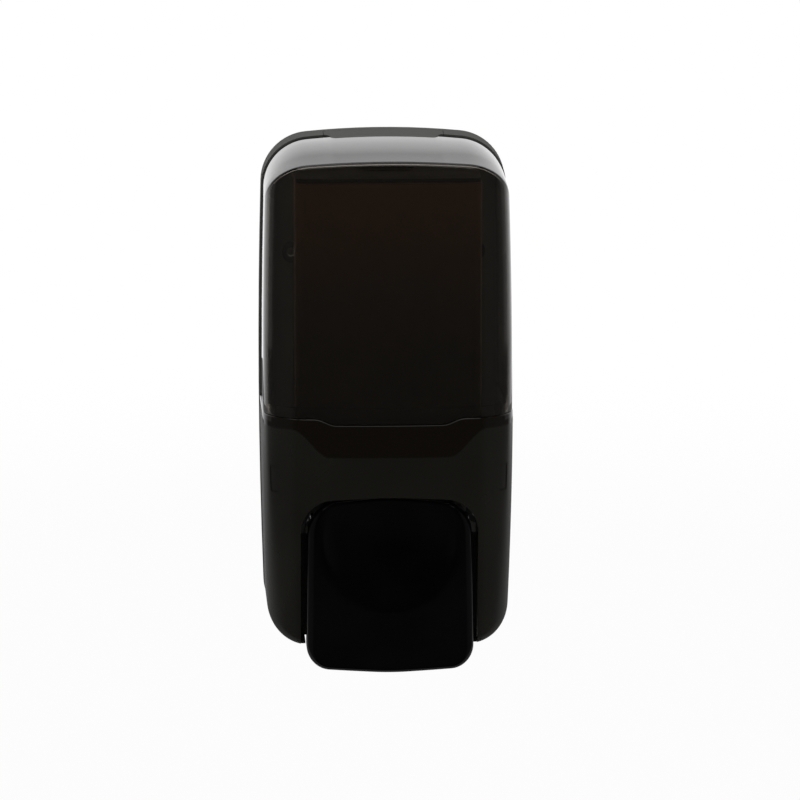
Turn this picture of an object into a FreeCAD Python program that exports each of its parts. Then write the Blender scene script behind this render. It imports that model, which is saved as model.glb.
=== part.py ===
"""Wall mounted push-lever soap dispenser, millimetres, +Z up.

The wall is the plane y = 0 and the object stands out of it towards -Y, so a depth d lies at y = -d.
The origin is the centre of the four wall screw holes.
"""
import FreeCAD, Part
import math
import os

V = FreeCAD.Vector

# ---- body outline, shared by the housing and the cover ----
half_width = 70.1           # widest half width, at the wall
body_top = 145.0            # top of the housing's rim at the wall
body_bottom = -135.0        # lowest point of the cover
top_slope = 0.075           # fall of the top per mm of depth
top_bow = 450.0             # radius of the bowed top
side_bow = 3500.0           # radius of the bowed sides
bottom_bow = 1200.0          # radius of the bowed bottom
top_corner = 28.0
bottom_corner = 22.0
waist_height = 15.0         # height at which the sides are widest
front_depth = 96.0          # depth of the front at its fullest
fullest_height = -10.0
front_bow = 420.0           # radius of the front across the width
front_profile = 1150.0      # radius of the front from top to bottom
plan_corner = 28.0          # rounding of the vertical front corners

# ---- walls, steps and clearances ----
wall = 2.5                  # thickness of the housing and cover walls
plate = 3.0                 # back plate of the housing
rim_depth = 14.0            # depth of the housing's rim
rim_step = 0.8              # the rim stands this far proud of the window
ledge_step = 0.5            # the lower shell stands this far proud of the window
cover_gap = 0.6             # gap between the rim and the cover
seam = 0.15                 # gap between window and lower shell
loose = 0.3                 # gap between pieces that only lie next to each other
running = 0.06              # radial clearance of a turning or sliding fit
snug = 0.02                 # radial clearance of a fixed pin or screw

# ---- cover ----
ledge_height = -4.5         # seam between window and lower shell
ledge_dip = 3.5
dip_half = 29.5             # half width of the flat middle of the dip
dip_shoulder = 41.5
lap = 7.0                   # the window reaches this far down inside the lower shell
lap_wall = 1.3
lap_joint = 6.0             # overlap that joins the lap to the window's wall
leg_margin = 4.0            # the snap legs are this much wider than their openings
hook_recess = 0.4           # the snap hooks lie this far under the surface
edge_round = 4.0            # rounding between the front and the top and bottom
snap_low = -47.0            # openings in the lower shell for the window's snap hooks
snap_high = -32.5
snap_near = 79.0
snap_far = 84.5
snap_wall = 1.8
notch_half = 49.2
notch_top = -48.3
notch_bow = 2.8
notch_corner = 19.0
notch_return = 20.0         # depth of the wall beside the notch
return_wall = 2.2
return_lip = 2.1            # the return walls turn in by this at the back, to screen the gap beside the lever
return_lip_thick = 1.6
return_lip_top = -86.0

# ---- cover hinge ----
hinge_depth = 20.0
hinge_rise = 15.0           # height of the hinge axis above body_bottom
hinge_pin_r = 2.0
knuckle_r = 5.0
lug_inset = 17.4            # the housing lugs' inner faces stand this far inside the widest half width
lug_width = 4.4
ear_gap = 0.6               # gap between a lug and the cover's ear
ear_width = 3.4
ear_reach = 22.0            # the ears reach this far forward of the hinge axis
slot_margin = 1.0
pin_stand = 0.5             # pins stand out this far past what they hold
cover_swing = 16.0          # the rim ends this far above the hinge axis
lip_rise = 2.0              # rise of the housing's edge below that

# ---- latch ----
tab_half = 33.5
tab_flat = 26.0             # half width of the tab's straight front edge
tab_back = 5.0
tab_reach = 26.5            # depth of the tab's front edge
tab_wall = 2.3
stem_half = 9.0
stem_near = 5.5
stem_far = 12.0
stem_length = 27.0          # from the rim's top down to the foot of the latch stem
latch_travel = 2.5
latch_spring_length = 8.0
latch_spring_r = 2.4
rib_thick = 2.5             # cover rib that the latch holds
rib_drop = 8.0              # rib's lower edge under body_top
rib_half = 12.0
hook_thick = 2.0
hook_gap = 0.7              # play of the hook and its arm at the cover's rib
web_setback = 5.0           # the hook's web stands this far behind the tab's front edge
guide_margin = 1.0
guide_rise = 20.0           # the guide's cheeks reach this far above the stem's foot
latch_wire = 0.35
latch_coils = 5

# ---- tank ----
tank_half = 51.5
tank_back = 20.0
tank_front = 80.0
tank_top = 125.0
tank_corner = 5.0
tank_wall = 1.8
floor_thick = 4.0
neck_r = 15.8
neck_bore = 12.8
neck_length = 14.0
sump_r = 26.0
lid_plate = 2.4
lid_skirt = 6.0
lid_gap = 0.2               # gap between the lid and the tank's top edge
lid_inset = 0.5
plug_wall = 2.0
gasket_wide = 1.0
gasket_tall = 2.5
grip_wide = 4.0
grip_half = 15.0
grip_rise = 2.4

# ---- chassis ----
shelf_top = -46.0
shelf_thick = 4.0
shelf_half = 46.0
shelf_front = 76.0
pad_margin = 4.0
pad_rise = 8.0              # raised pad of the housing that carries the chassis
flange_half = 40.0
flange_thick = 3.0
flange_drop = 50.0
screw_x = 25.0
screw_first = 12.0          # screw rows below the shelf's top
screw_second = 38.0
screw_r = 1.75
screw_head_r = 3.6
screw_head = 2.2
screw_recess = 1.0
screw_floor = 1.5           # material left behind a screw hole
arm_inner = 33.0
arm_width = 4.4
arm_drop = 26.0
arm_step = 4.0              # the arm steps down this far before the shelf's front

# ---- pump ----
pump_depth = 50.0           # depth of the pump's axis
nut_r = 21.0
nut_wall = 2.4
nut_rib_r = 0.9
thread_gap = 0.1
nut_ribs = 24
gasket = 1.1
pump_flange_r = 15.6
pump_flange = 2.0
cylinder_r = 10.0
chamber_r = 7.5
chamber_length = 27.0
chamber_rise = 3.0          # the chamber's roof stands this far above the neck's end
seat_thick = 2.0
seat_r = 2.2
ball_r = 3.2
cage_height = 8.0
cage_wall = 1.4
cage_room = 0.6             # play of the ball in its cage
cage_legs = 4
cap_wall = 2.3
cap_lap = 6.0               # the cap reaches this far up the cylinder
piston_r = 6.4
piston_length = 6.0
seal_length = 3.4
groove_deep = 1.2           # depth of the seal's groove and of the lip below it
stem_r = 4.6
stem_bore = 2.0
lift_flange_r = 14.0
lift_flange = 2.5
lift_gap = 9.5              # room above the lifting flange at rest
nozzle_length = 16.0
nozzle_tip_r = 3.2
nozzle_wall = 1.1
nozzle_lap = 4.0            # the nozzle reaches this far up the stem
valve_length = 7.0
valve_floor = 1.5
pump_spring_r = 5.2
pump_wire = 0.9
pump_coils = 6

# ---- lever ----
pivot_depth = 83.0
pivot_height = -64.0
lever_pin_r = 2.5
lever_half_top = 45.5
lever_half_bottom = 46.5
lever_top = -49.7
lever_bottom = -146.0
lever_top_bow = 2.8
lever_bottom_bow = 2.2
lever_top_bend = 150.0      # radius in the middle of the bowed top edge
lever_bottom_bend = 200.0
lever_top_corner = 18.0
lever_bottom_corner = 13.0
lever_front = 104.5         # depth of the lip
lip_height = -128.0
lever_profile = 300.0       # radius of the lever's front from top to bottom
lever_crown = 300.0         # radius of the lever's front across the width
lever_edge = 5.0
lever_wall = 3.0
lever_back = 76.0
dish_r = 44.0               # radius of the dish's rim
dish_deep = 11.0
dish_height = -67.0
dish_lean = 8.4             # degrees that the dish looks up
loft_sections = 5
lip_depth = 14.5            # thickness of the lever at its lower end, front to back
arm_gap = 0.8               # gap between a chassis arm and the lever's ear
pin_cover = 1.8             # material left over the blind end of a lever pin
fork_bar_near = 78.0
fork_bar_far = 84.0
fork_half = 30.0
prong_inner = 6.2
prong_width = 4.8
prong_tip_r = 3.0
fork_screw_x = 24.0
boss_r = 4.5
fork_screw_grip = 8.0       # length of a fork screw inside the lever's boss

# ---- wall screws ----
wall_hole_r = 2.6
wall_hole_x = 53.0
wall_hole_z = 75.0
wall_boss_r = 6.0
wall_boss_rise = 1.5

# ---- stiffening ribs of the back plate ----
plate_ribs = 3
plate_rib_half = 42.0
plate_rib_wide = 2.0
plate_rib_rise = 1.5
sink = 1.0                  # raised features start this far inside the plate

# ---- shapes that only cut or limit others ----
overshoot = 60.0            # they reach this far past the body
loft_margin = 20.0          # the front face is lofted this far past the top and the bottom
skin_sections = 5

# ---- places that follow from the sizes above ----
hinge_height = body_bottom + hinge_rise
cover_back = rim_depth + cover_gap
window_inset = rim_step
base_inset = rim_step - ledge_step
flange_back = pad_rise + flange_thick
lug_inner = half_width - lug_inset
ear_inner = lug_inner + lug_width + ear_gap
low = body_bottom - overshoot
high = body_top + overshoot
beyond = lever_front + overshoot
aside = half_width + overshoot
shelf_bottom = shelf_top - shelf_thick
neck_end = shelf_top - neck_length
pump_flange_top = neck_end - gasket
chamber_top = neck_end + chamber_rise
roof = chamber_top + seat_thick
chamber_end = chamber_top - chamber_length
cap_end = chamber_end - cap_wall
lift_top = cap_end - lift_gap
lift_bottom = lift_top - lift_flange
piston_bottom = chamber_end + groove_deep
groove_low = piston_bottom + groove_deep
piston_top = piston_bottom + piston_length
stem_top = body_top - stem_length
latch_shelf = stem_top - latch_spring_length
rib_low = body_top - rib_drop
rib_depth = tab_reach + cover_gap
stem_end = lift_bottom - nozzle_lap
prong_tip = lift_bottom - loose - prong_tip_r
pin_end = lever_half_top - pin_cover
screw_hole_end = screw_floor


# ---- small builders ----
def box(x0, x1, d0, d1, z0, z1):
    """Block between two widths, two depths and two heights."""
    return Part.makeBox(x1 - x0, d1 - d0, z1 - z0, V(x0, -d1, z0))


def upright(r, z0, z1, x=0.0, d=pump_depth):
    """Vertical cylinder."""
    return Part.makeCylinder(r, z1 - z0, V(x, -d, z0), V(0, 0, 1))


def cone(r0, r1, z0, z1):
    """Vertical cone on the pump's axis."""
    return Part.makeCone(r0, r1, z1 - z0, V(0, -pump_depth, z0), V(0, 0, 1))


def across(r, x0, x1, d, z):
    """Cylinder along X."""
    return Part.makeCylinder(r, x1 - x0, V(x0, -d, z), V(1, 0, 0))


def forward(r, d0, d1, x, z):
    """Cylinder along the depth."""
    return Part.makeCylinder(r, d1 - d0, V(x, -d1, z), V(0, 1, 0))


def flip(shape):
    """The same piece on the other side."""
    return shape.mirror(V(0, 0, 0), V(1, 0, 0))


def both(shape):
    """A piece and its mirror image, as two solids."""
    return Part.makeCompound([shape, flip(shape)])


def toward(a, b):
    """Unit vector from one point of a plane to another."""
    length = math.hypot(b[0] - a[0], b[1] - a[1])
    return ((b[0] - a[0]) / length, (b[1] - a[1]) / length)


def step(a, direction, length):
    """Point at a distance from another."""
    return (a[0] + direction[0] * length, a[1] + direction[1] * length)


def rounded(corners, place):
    """Closed wire through corners (u, v, radius), each one rounded by a tangent arc."""
    arcs = []
    for i, (u, v, radius) in enumerate(corners):
        here = (u, v)
        back = toward(here, corners[i - 1])
        ahead = toward(here, corners[(i + 1) % len(corners)])
        half = 0.5 * math.acos(back[0] * ahead[0] + back[1] * ahead[1])
        if radius == 0.0:
            arcs.append((here, here, here))
            continue
        middle = toward((0.0, 0.0), (back[0] + ahead[0], back[1] + ahead[1]))
        cut = radius / math.tan(half)
        arcs.append((step(here, back, cut), step(here, middle, radius / math.sin(half) - radius),
                     step(here, ahead, cut)))
    edges = []
    for i, (start, middle, end) in enumerate(arcs):
        if start != end:
            edges.append(Part.Arc(place(*start), place(*middle), place(*end)).toShape())
        following = arcs[(i + 1) % len(arcs)][0]
        edges.append(Part.LineSegment(place(*end), place(*following)).toShape())
    return Part.Wire(edges)


def side_block(corners, x0, x1):
    """Outline of (depth, height, radius) corners carried across the width."""
    face = Part.Face(rounded(corners, lambda d, z: V(x0, -d, z)))
    return face.extrude(V(x1 - x0, 0, 0))


def front_block(corners, d0, d1):
    """Outline of (width, height, radius) corners carried through the depth."""
    face = Part.Face(rounded(corners, lambda x, z: V(x, -d0, z)))
    return face.extrude(V(0, d0 - d1, 0))


def coil(radius, wire, height, turns, centre):
    """Round wire wound upwards from a point."""
    rise = height - 2 * wire
    helix = Part.makeHelix(rise / turns, rise, radius)
    ring = Part.Wire(Part.makeCircle(wire, V(radius, 0, 0), V(0, 1, rise / turns / (2 * math.pi * radius))))
    spring = Part.Wire(helix).makePipeShell([ring], True, True)
    spring.translate(V(centre[0], -centre[1], centre[2] + wire))
    return spring


# ---- body skins ----
def corner_centre(centre, radius, side_centre, side_radius, upward):
    """Where two circles meet on the +X side, the upper or lower point."""
    dx, dz = side_centre[0] - centre[0], side_centre[1] - centre[1]
    apart = math.hypot(dx, dz)
    along = (radius ** 2 - side_radius ** 2 + apart ** 2) / (2 * apart)
    across_it = math.sqrt(radius ** 2 - along ** 2)
    meets = [(centre[0] + (along * dx - s * across_it * dz) / apart,
              centre[1] + (along * dz + s * across_it * dx) / apart) for s in (1, -1)]
    meets = [m for m in meets if m[0] > 0]
    return max(meets, key=lambda m: m[1] if upward else -m[1])


def outline(depth, inset):
    """Front-view outline at a depth: bowed top, sides and bottom joined by round corners."""
    top = (0.0, body_top - top_slope * depth - top_bow)
    side = (half_width - side_bow, waist_height)
    bottom = (0.0, body_bottom + bottom_bow)
    upper = corner_centre(top, top_bow - top_corner, side, side_bow - top_corner, True)
    lower = corner_centre(bottom, bottom_bow - bottom_corner, side, side_bow - bottom_corner, False)
    a = step(top, toward(top, upper), top_bow - inset)
    b = step(side, toward(side, upper), side_bow - inset)
    c = step(side, toward(side, lower), side_bow - inset)
    d = step(bottom, toward(bottom, lower), bottom_bow - inset)
    ab = step(upper, toward(upper, ((a[0] + b[0]) / 2, (a[1] + b[1]) / 2)), top_corner - inset)
    cd = step(lower, toward(lower, ((c[0] + d[0]) / 2, (c[1] + d[1]) / 2)), bottom_corner - inset)
    bc = (half_width - inset, waist_height)
    right = [(a, ab, b), (b, bc, c), (c, cd, d)]
    left = [tuple((-x, z) for x, z in reversed(arc)) for arc in reversed(right)]
    crown = ((-a[0], a[1]), (0.0, top[1] + top_bow - inset), a)
    foot = (d, (0.0, body_bottom + inset), (-d[0], d[1]))
    arcs = [crown] + right + [foot] + left
    return Part.Wire([Part.Arc(*[V(x, -depth, z) for x, z in arc]).toShape() for arc in arcs])


def outline_body(d0, d1, inset):
    """The outline carried from one depth to another, its top falling with the slope."""
    return Part.makeLoft([outline(d0, inset), outline(d1, inset)], True, True)


def front_at(z):
    """Depth of the front face at a height."""
    return front_depth - front_profile + math.sqrt(front_profile ** 2 - (z - fullest_height) ** 2)


def side_at(z):
    """Half width of the body at a height."""
    return half_width - side_bow + math.sqrt(side_bow ** 2 - (z - waist_height) ** 2)


def plan(z, inset):
    """Top-view outline at a height: bowed front and round vertical corners, open-ended behind the wall."""
    half = side_at(z) + 0.25
    centre = (0.0, front_at(z) - front_bow)
    corner_x = half - plan_corner
    corner = (corner_x, centre[1] + math.sqrt((front_bow - plan_corner) ** 2 - corner_x ** 2))
    a = step(centre, toward(centre, corner), front_bow - inset)
    b = (half - inset, corner[1])
    ab = step(corner, toward(corner, ((a[0] + b[0]) / 2, (a[1] + b[1]) / 2)), plan_corner - inset)
    rear = (b[0], -20.0)

    def at(p, sign=1):
        return V(sign * p[0], -p[1], z)

    return Part.Wire([
        Part.LineSegment(at(rear, -1), at(b, -1)).toShape(),
        Part.Arc(at(b, -1), at(ab, -1), at(a, -1)).toShape(),
        Part.Arc(at(a, -1), V(0, -(centre[1] + front_bow - inset), z), at(a)).toShape(),
        Part.Arc(at(a), at(ab), at(b)).toShape(),
        Part.LineSegment(at(b), at(rear)).toShape(),
        Part.LineSegment(at(rear), at(rear, -1)).toShape()])


def skin(inset, round_r=0.0):
    """The whole body reduced by an inset, with the edge between its front and its top and bottom rounded."""
    first = body_bottom - loft_margin
    last = body_top + loft_margin
    spread = [first + (last - first) * i / (skin_sections - 1) for i in range(skin_sections)]
    front = Part.makeLoft([plan(z, inset) for z in spread], True, False)
    body = outline_body(-10.0, front_depth + 15.0, inset).common(front)
    if round_r > 0.0:
        limit = plan_corner * 0.9
        edge = [e for e in body.Edges if front_edge(e, limit)]
        body = body.makeFillet(round_r, edge)
    return body


def front_edge(edge, limit):
    """Whether an edge is part of the line where the front meets the top or the bottom."""
    b = edge.BoundBox
    return b.YMax < -limit and b.YMin > -front_depth - 1.0 and (b.ZMin > 90.0 or b.ZMax < -90.0) \
        and b.XLength > 0.2


def reach(d0, d1, z0=low, z1=high):
    """Everything between two depths and two heights."""
    return box(-aside, aside, d0, d1, z0, z1)


def ledge_line(shift, drop):
    """Corners of the seam between window and lower shell, which dips in the middle."""
    z = ledge_height + shift
    dip = z - ledge_dip
    bend = 6.0
    return [(-aside, z, 0.0), (-dip_shoulder, z, bend), (-dip_half, dip, bend), (dip_half, dip, bend),
            (dip_shoulder, z, bend), (aside, z, 0.0), (aside, z + drop, 0.0), (-aside, z + drop, 0.0)]


def notch_corners(grow):
    """Outline of the lever's notch, open at the bottom, grown by a margin."""
    half = notch_half + grow
    top = notch_top + grow
    shoulder = top - notch_bow
    crown = 0.5 * half ** 2 / notch_bow
    return [(-half, low, 0.0), (-half, shoulder, notch_corner + grow), (0.0, top, crown * 0.5),
            (half, shoulder, notch_corner + grow), (half, low, 0.0)]


# ---- housing ----
def tab_block(grow, z0, z1):
    """Upright block with the latch tab's outline grown by a margin."""
    half = tab_half + grow
    reach_d = tab_reach + grow
    flat = tab_flat + grow
    end = rim_depth + grow
    back = tab_back - grow

    def at(x, d):
        return V(x, -d, z0)

    bend = (half - flat) * 0.55
    right = Part.BezierCurve()
    right.setPoles([at(half, end), at(half - bend, end), at(flat + bend, reach_d), at(flat, reach_d)])
    left = Part.BezierCurve()
    left.setPoles([at(-flat, reach_d), at(-flat - bend, reach_d), at(-half + bend, end), at(-half, end)])
    wire = Part.Wire([
        Part.LineSegment(at(-half, back), at(half, back)).toShape(),
        Part.LineSegment(at(half, back), at(half, end)).toShape(),
        right.toShape(),
        Part.LineSegment(at(flat, reach_d), at(-flat, reach_d)).toShape(),
        left.toShape(),
        Part.LineSegment(at(-half, end), at(-half, back)).toShape()])
    return Part.Face(wire).extrude(V(0, 0, z1 - z0))


def hinge_arm(x0, width, end, foot):
    """Plate with a round knuckle on the cover hinge's axis, running to a depth, with its foot at a height."""
    knuckle = across(knuckle_r, x0, x0 + width, hinge_depth, hinge_height)
    near, far = sorted((hinge_depth, end))
    web = box(x0, x0 + width, near, far, foot, hinge_height + knuckle_r)
    return knuckle.fuse(web)


def back_housing():
    """Back plate with its rim, wall-screw bosses, chassis pad, hinge lugs and latch guide."""
    rim_end = hinge_height + cover_swing
    low_lip = plate + lip_rise
    shell = outline_body(0.0, rim_depth, 0.0)
    shell = shell.cut(outline_body(plate, rim_depth + 5.0, wall))
    shell = shell.cut(reach(low_lip, rim_depth + 1.0, low, rim_end))
    lug = hinge_arm(lug_inner, lug_width, plate - sink, hinge_height - knuckle_r)
    added = [lug, flip(lug)]
    added.append(box(-flange_half - pad_margin, flange_half + pad_margin, plate - sink, pad_rise,
                     shelf_top - flange_drop - pad_margin, shelf_top + pad_margin))
    for x in (-wall_hole_x, wall_hole_x):
        for z in (-wall_hole_z, wall_hole_z):
            added.append(forward(wall_boss_r, plate - sink, plate + wall_boss_rise, x, z))
    guide_x = stem_half + loose
    guide_end = stem_far + guide_margin
    for x in (-guide_x - wall, guide_x):
        added.append(box(x, x + wall, plate - sink, guide_end, latch_shelf - wall, stem_top + guide_rise))
    added.append(box(-guide_x - wall, guide_x + wall, plate - sink, guide_end, latch_shelf - wall, latch_shelf))
    for i in range(plate_ribs):
        height = shelf_top + (latch_shelf - shelf_top) * (i + 1) / (plate_ribs + 1)
        added.append(box(-plate_rib_half, plate_rib_half, plate - sink, plate + plate_rib_rise,
                         height - 0.5 * plate_rib_wide, height + 0.5 * plate_rib_wide))
    housing = shell.multiFuse(added)
    cuts = [tab_block(loose, stem_top + guide_rise, high)]
    for x in (-wall_hole_x, wall_hole_x):
        for z in (-wall_hole_z, wall_hole_z):
            cuts.append(forward(wall_hole_r, -1.0, pad_rise, x, z))
    for x, z in screw_places():
        cuts.append(forward(screw_r + snug, screw_hole_end, pad_rise + 1.0, x, z))
    pin = hinge_pin_r + snug
    cuts += [across(pin, -lug_inner - lug_width - 1, -lug_inner + 1, hinge_depth, hinge_height),
             across(pin, lug_inner - 1, lug_inner + lug_width + 1, hinge_depth, hinge_height)]
    return housing.cut(Part.makeCompound(cuts)).removeSplitter()


def screw_places():
    """Width and height of each chassis screw."""
    return [(x, shelf_top - fall) for x in (-screw_x, screw_x) for fall in (screw_first, screw_second)]


# ---- latch ----
def latch_tab():
    """Thumb tab flush with the rim, on a stem that slides in the guide, with the hook for the cover."""
    pad = tab_block(0.0, latch_shelf, high).common(
        outline_body(0.0, front_depth, 0.0).cut(outline_body(-1.0, front_depth + 1.0, tab_wall)))
    root = body_top - tab_wall
    stem = box(-stem_half, stem_half, stem_near, stem_far, stem_top, root)
    arm_top = rib_low - hook_gap
    arm_low = arm_top - hook_thick
    web_near = rib_depth - cover_gap - web_setback
    hook_far = rib_depth + rib_thick + hook_gap
    web = box(-stem_half, stem_half, web_near, web_near + hook_thick, arm_low, root - top_slope * web_near)
    arm = box(-stem_half, stem_half, web_near, hook_far + hook_thick, arm_low, arm_top)
    hook = box(-stem_half, stem_half, hook_far, hook_far + hook_thick, arm_low, rib_low - loose)
    return pad.multiFuse([stem, web, arm, hook]).removeSplitter()


def latch_spring():
    """Compression spring between the guide's shelf and the stem."""
    middle = 0.5 * (stem_near + stem_far)
    return coil(latch_spring_r, latch_wire, latch_spring_length - 2 * loose, latch_coils,
                (0.0, middle, latch_shelf + loose))


# ---- cover ----
def cover_window():
    """Smoke upper shell, its lap inside the lower shell, two snap legs and the rib that the latch holds."""
    inner_lap = base_inset + wall + loose
    above = front_block(ledge_line(seam, high - ledge_height), -beyond, beyond)
    shell = skin(window_inset, edge_round).cut(skin(window_inset + wall, edge_round - wall))
    shell = shell.common(above)
    lap_skin = skin(inner_lap).cut(skin(inner_lap + lap_wall))
    joint_top = ledge_height + lap_joint
    lap_ring = lap_skin.common(reach(cover_back, beyond, ledge_height - ledge_dip - lap, joint_top))
    leg_skin = skin(inner_lap).cut(skin(inner_lap + snap_wall))
    beside = half_width - plan_corner
    leg_zone = box(beside, aside, snap_near - leg_margin, snap_far + leg_margin, snap_low - leg_margin, joint_top)
    hook_zone = box(beside, aside, snap_near + loose, snap_far - loose, snap_low + loose, snap_high - loose)
    hook = skin(base_inset + hook_recess).cut(skin(inner_lap + snap_wall)).common(hook_zone)
    leg = leg_skin.common(leg_zone).fuse(hook)
    rib_root = body_top - window_inset - top_slope * (rib_depth + rib_thick) - 0.5 * wall
    rib = box(-rib_half, rib_half, rib_depth, rib_depth + rib_thick, rib_low, rib_root)
    whole = shell.multiFuse([lap_ring, leg, flip(leg), rib])
    whole = whole.common(reach(cover_back, beyond))
    return whole.cut(tab_block(cover_gap, stem_top, high)).removeSplitter()


def cover_base():
    """Satin lower shell with the lever's notch, snap openings and hinge ears."""
    below = front_block(ledge_line(0.0, low - ledge_height), -beyond, beyond)
    outer = skin(base_inset, edge_round)
    inner = skin(base_inset + wall, edge_round - wall)
    shell = outer.cut(inner)
    beside = front_block(notch_corners(return_wall), 0.0, beyond)
    beside = beside.cut(front_block(notch_corners(0.0), -1.0, beyond + 1.0))
    return_back = front_at(notch_top) - notch_return
    beside = beside.common(reach(return_back, beyond, low, notch_top - notch_corner))
    lip = outer.common(box(notch_half - return_lip, notch_half + return_wall, return_back,
                           return_back + return_lip_thick, low, return_lip_top))
    ear = hinge_arm(ear_inner, ear_width, hinge_depth + ear_reach, body_bottom)
    extras = outer.common(Part.makeCompound([beside, ear, flip(ear)]))
    shell = shell.common(below).fuse(extras)
    shell = shell.common(reach(cover_back, beyond))
    slot = box(lug_inner - slot_margin, ear_inner, 0.0, hinge_depth + knuckle_r + slot_margin * 3,
               low, hinge_height - hinge_pin_r)
    snap = box(half_width - plan_corner, aside, snap_near, snap_far, snap_low, snap_high)
    bore = across(hinge_pin_r + running, ear_inner - 1.0, ear_inner + ear_width + 1.0, hinge_depth, hinge_height)
    cuts = [front_block(notch_corners(0.0), -1.0, beyond), slot, flip(slot), snap, flip(snap), bore, flip(bore)]
    return shell.cut(Part.makeCompound(cuts)).multiFuse([lip, flip(lip)]).removeSplitter()


def hinge_pins():
    """The two pins of the cover hinge."""
    return both(across(hinge_pin_r, lug_inner - pin_stand, ear_inner + ear_width + pin_stand,
                       hinge_depth, hinge_height))


# ---- tank ----
def tank_block(inset, z0, z1, round_r):
    """Upright block with the tank's plan."""
    half = tank_half - inset
    near = tank_back + inset
    far = tank_front - inset
    corners = [(-half, near, round_r), (half, near, round_r), (half, far, round_r), (-half, far, round_r)]
    face = Part.Face(rounded(corners, lambda x, d: V(x, -d, z0)))
    return face.extrude(V(0, 0, z1 - z0))


def reservoir():
    """Open-topped tank with a sump and a neck."""
    tank = tank_block(0.0, shelf_top, tank_top, tank_corner).fuse(upright(neck_r, neck_end, shelf_top + 1.0))
    hollow = tank_block(tank_wall, shelf_top + floor_thick, tank_top + 1.0, tank_corner - tank_wall)
    sump = cone(neck_bore, sump_r, shelf_top + 1.0, shelf_top + floor_thick)
    bore = upright(neck_bore, neck_end - 1.0, shelf_top + floor_thick)
    return tank.cut(hollow.multiFuse([sump, bore])).removeSplitter()


def reservoir_lid():
    """Lid with a plug that enters the tank and a groove for its gasket."""
    inset = tank_wall + gasket_wide
    plate_low = tank_top + lid_gap
    lid = tank_block(lid_inset, plate_low, plate_low + lid_plate, tank_corner - lid_inset)
    plug = tank_block(inset, plate_low - lid_skirt, plate_low, tank_corner - inset)
    plug = plug.cut(tank_block(inset + plug_wall, plate_low - lid_skirt - 1.0, plate_low, plug_wall * 0.1))
    middle = 0.5 * (tank_back + tank_front)
    grip = box(-grip_half, grip_half, middle - 0.5 * grip_wide, middle + 0.5 * grip_wide,
               plate_low + 0.5 * lid_plate, plate_low + lid_plate + grip_rise)
    return lid.multiFuse([plug, grip]).removeSplitter()


def lid_gasket():
    """Ring between the lid's plug and the tank's wall."""
    outer = tank_wall + running
    inner = tank_wall + gasket_wide - running
    top = tank_top + lid_gap - 0.25 * lid_skirt
    ring = tank_block(outer, top - gasket_tall, top, tank_corner - outer)
    return ring.cut(tank_block(inner, top - gasket_tall - 1.0, top + 1.0, tank_corner - inner))


# ---- chassis ----
def chassis():
    """Shelf with a slot for the tank's neck, screw flange and the two arms that carry the lever."""
    shelf = box(-shelf_half, shelf_half, pad_rise, shelf_front, shelf_bottom, shelf_top)
    flange = box(-flange_half, flange_half, pad_rise, flange_back, shelf_top - flange_drop, shelf_top)
    foot = shelf_top - arm_drop
    neckdown = shelf_front - arm_step
    arm = side_block([(pad_rise, shelf_top, 0.0), (pad_rise, foot, 0.0), (shelf_front, foot, arm_step),
                      (pivot_depth, pivot_height - knuckle_r, 0.0), (pivot_depth, pivot_height + knuckle_r, 0.0),
                      (neckdown, pivot_height + knuckle_r, 1.0), (neckdown - 1.0, shelf_top, 0.0)],
                     arm_inner, arm_inner + arm_width)
    arm = arm.fuse(across(knuckle_r, arm_inner, arm_inner + arm_width, pivot_depth, pivot_height))
    body = shelf.multiFuse([flange, arm, flip(arm)])
    clear = neck_r + cover_gap
    slot = upright(clear, shelf_bottom - 1, shelf_top + 1)
    slot = slot.fuse(box(-clear, clear, pump_depth, shelf_front + 1.0, shelf_bottom - 1, shelf_top + 1))
    bore = across(lever_pin_r + snug, arm_inner - 1, arm_inner + arm_width + 1, pivot_depth, pivot_height)
    cuts = [slot, bore, flip(bore)]
    cuts += [forward(screw_r + loose, pad_rise - 1, flange_back + 1, x, z) for x, z in screw_places()]
    return body.cut(Part.makeCompound(cuts)).removeSplitter()


def screw(x, z, head_depth, length, faces_front):
    """Pan-head screw along the depth, its head's underside at a depth."""
    sign = 1 if faces_front else -1
    ends = sorted((head_depth, head_depth + sign * screw_head))
    tips = sorted((head_depth, head_depth - sign * length))
    head = forward(screw_head_r, ends[0], ends[1], x, z)
    shank = forward(screw_r, tips[0], tips[1], x, z)
    top = head_depth + sign * screw_head
    cut = sorted((top + sign, top - sign * screw_recess))
    long, thin = 0.6 * screw_head_r, 0.12 * screw_head_r
    cross = box(x - long, x + long, cut[0], cut[1], z - thin, z + thin)
    cross = cross.fuse(box(x - thin, x + thin, cut[0], cut[1], z - long, z + long))
    return head.fuse(shank).cut(cross)


def chassis_screws():
    """Four screws that hold the chassis to the housing's pad."""
    length = flange_back - screw_hole_end - loose
    return Part.makeCompound([screw(x, z, flange_back, length, True) for x, z in screw_places()])


# ---- pump ----
def collar_nut():
    """Ribbed nut on the neck that carries the pump's flange."""
    top = shelf_bottom - loose
    end = pump_flange_top - pump_flange - nut_wall
    nut = upright(nut_r - nut_rib_r, end, top)
    ribs = []
    for i in range(nut_ribs):
        angle = 2 * math.pi * i / nut_ribs
        ribs.append(upright(nut_rib_r, end + nut_rib_r, top - nut_rib_r, (nut_r - nut_rib_r) * math.cos(angle),
                            pump_depth + (nut_r - nut_rib_r) * math.sin(angle)))
    nut = nut.multiFuse(ribs)
    bore = upright(neck_r + thread_gap, end + nut_wall, top + 1.0)
    return nut.cut(bore.fuse(upright(cylinder_r + loose, end - 1.0, end + nut_wall + 1.0)))


def neck_gasket():
    """Flat ring between the neck's end and the pump's flange."""
    ring = upright(pump_flange_r, pump_flange_top, neck_end)
    return ring.cut(upright(neck_bore, pump_flange_top - 1.0, neck_end + 1.0))


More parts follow.
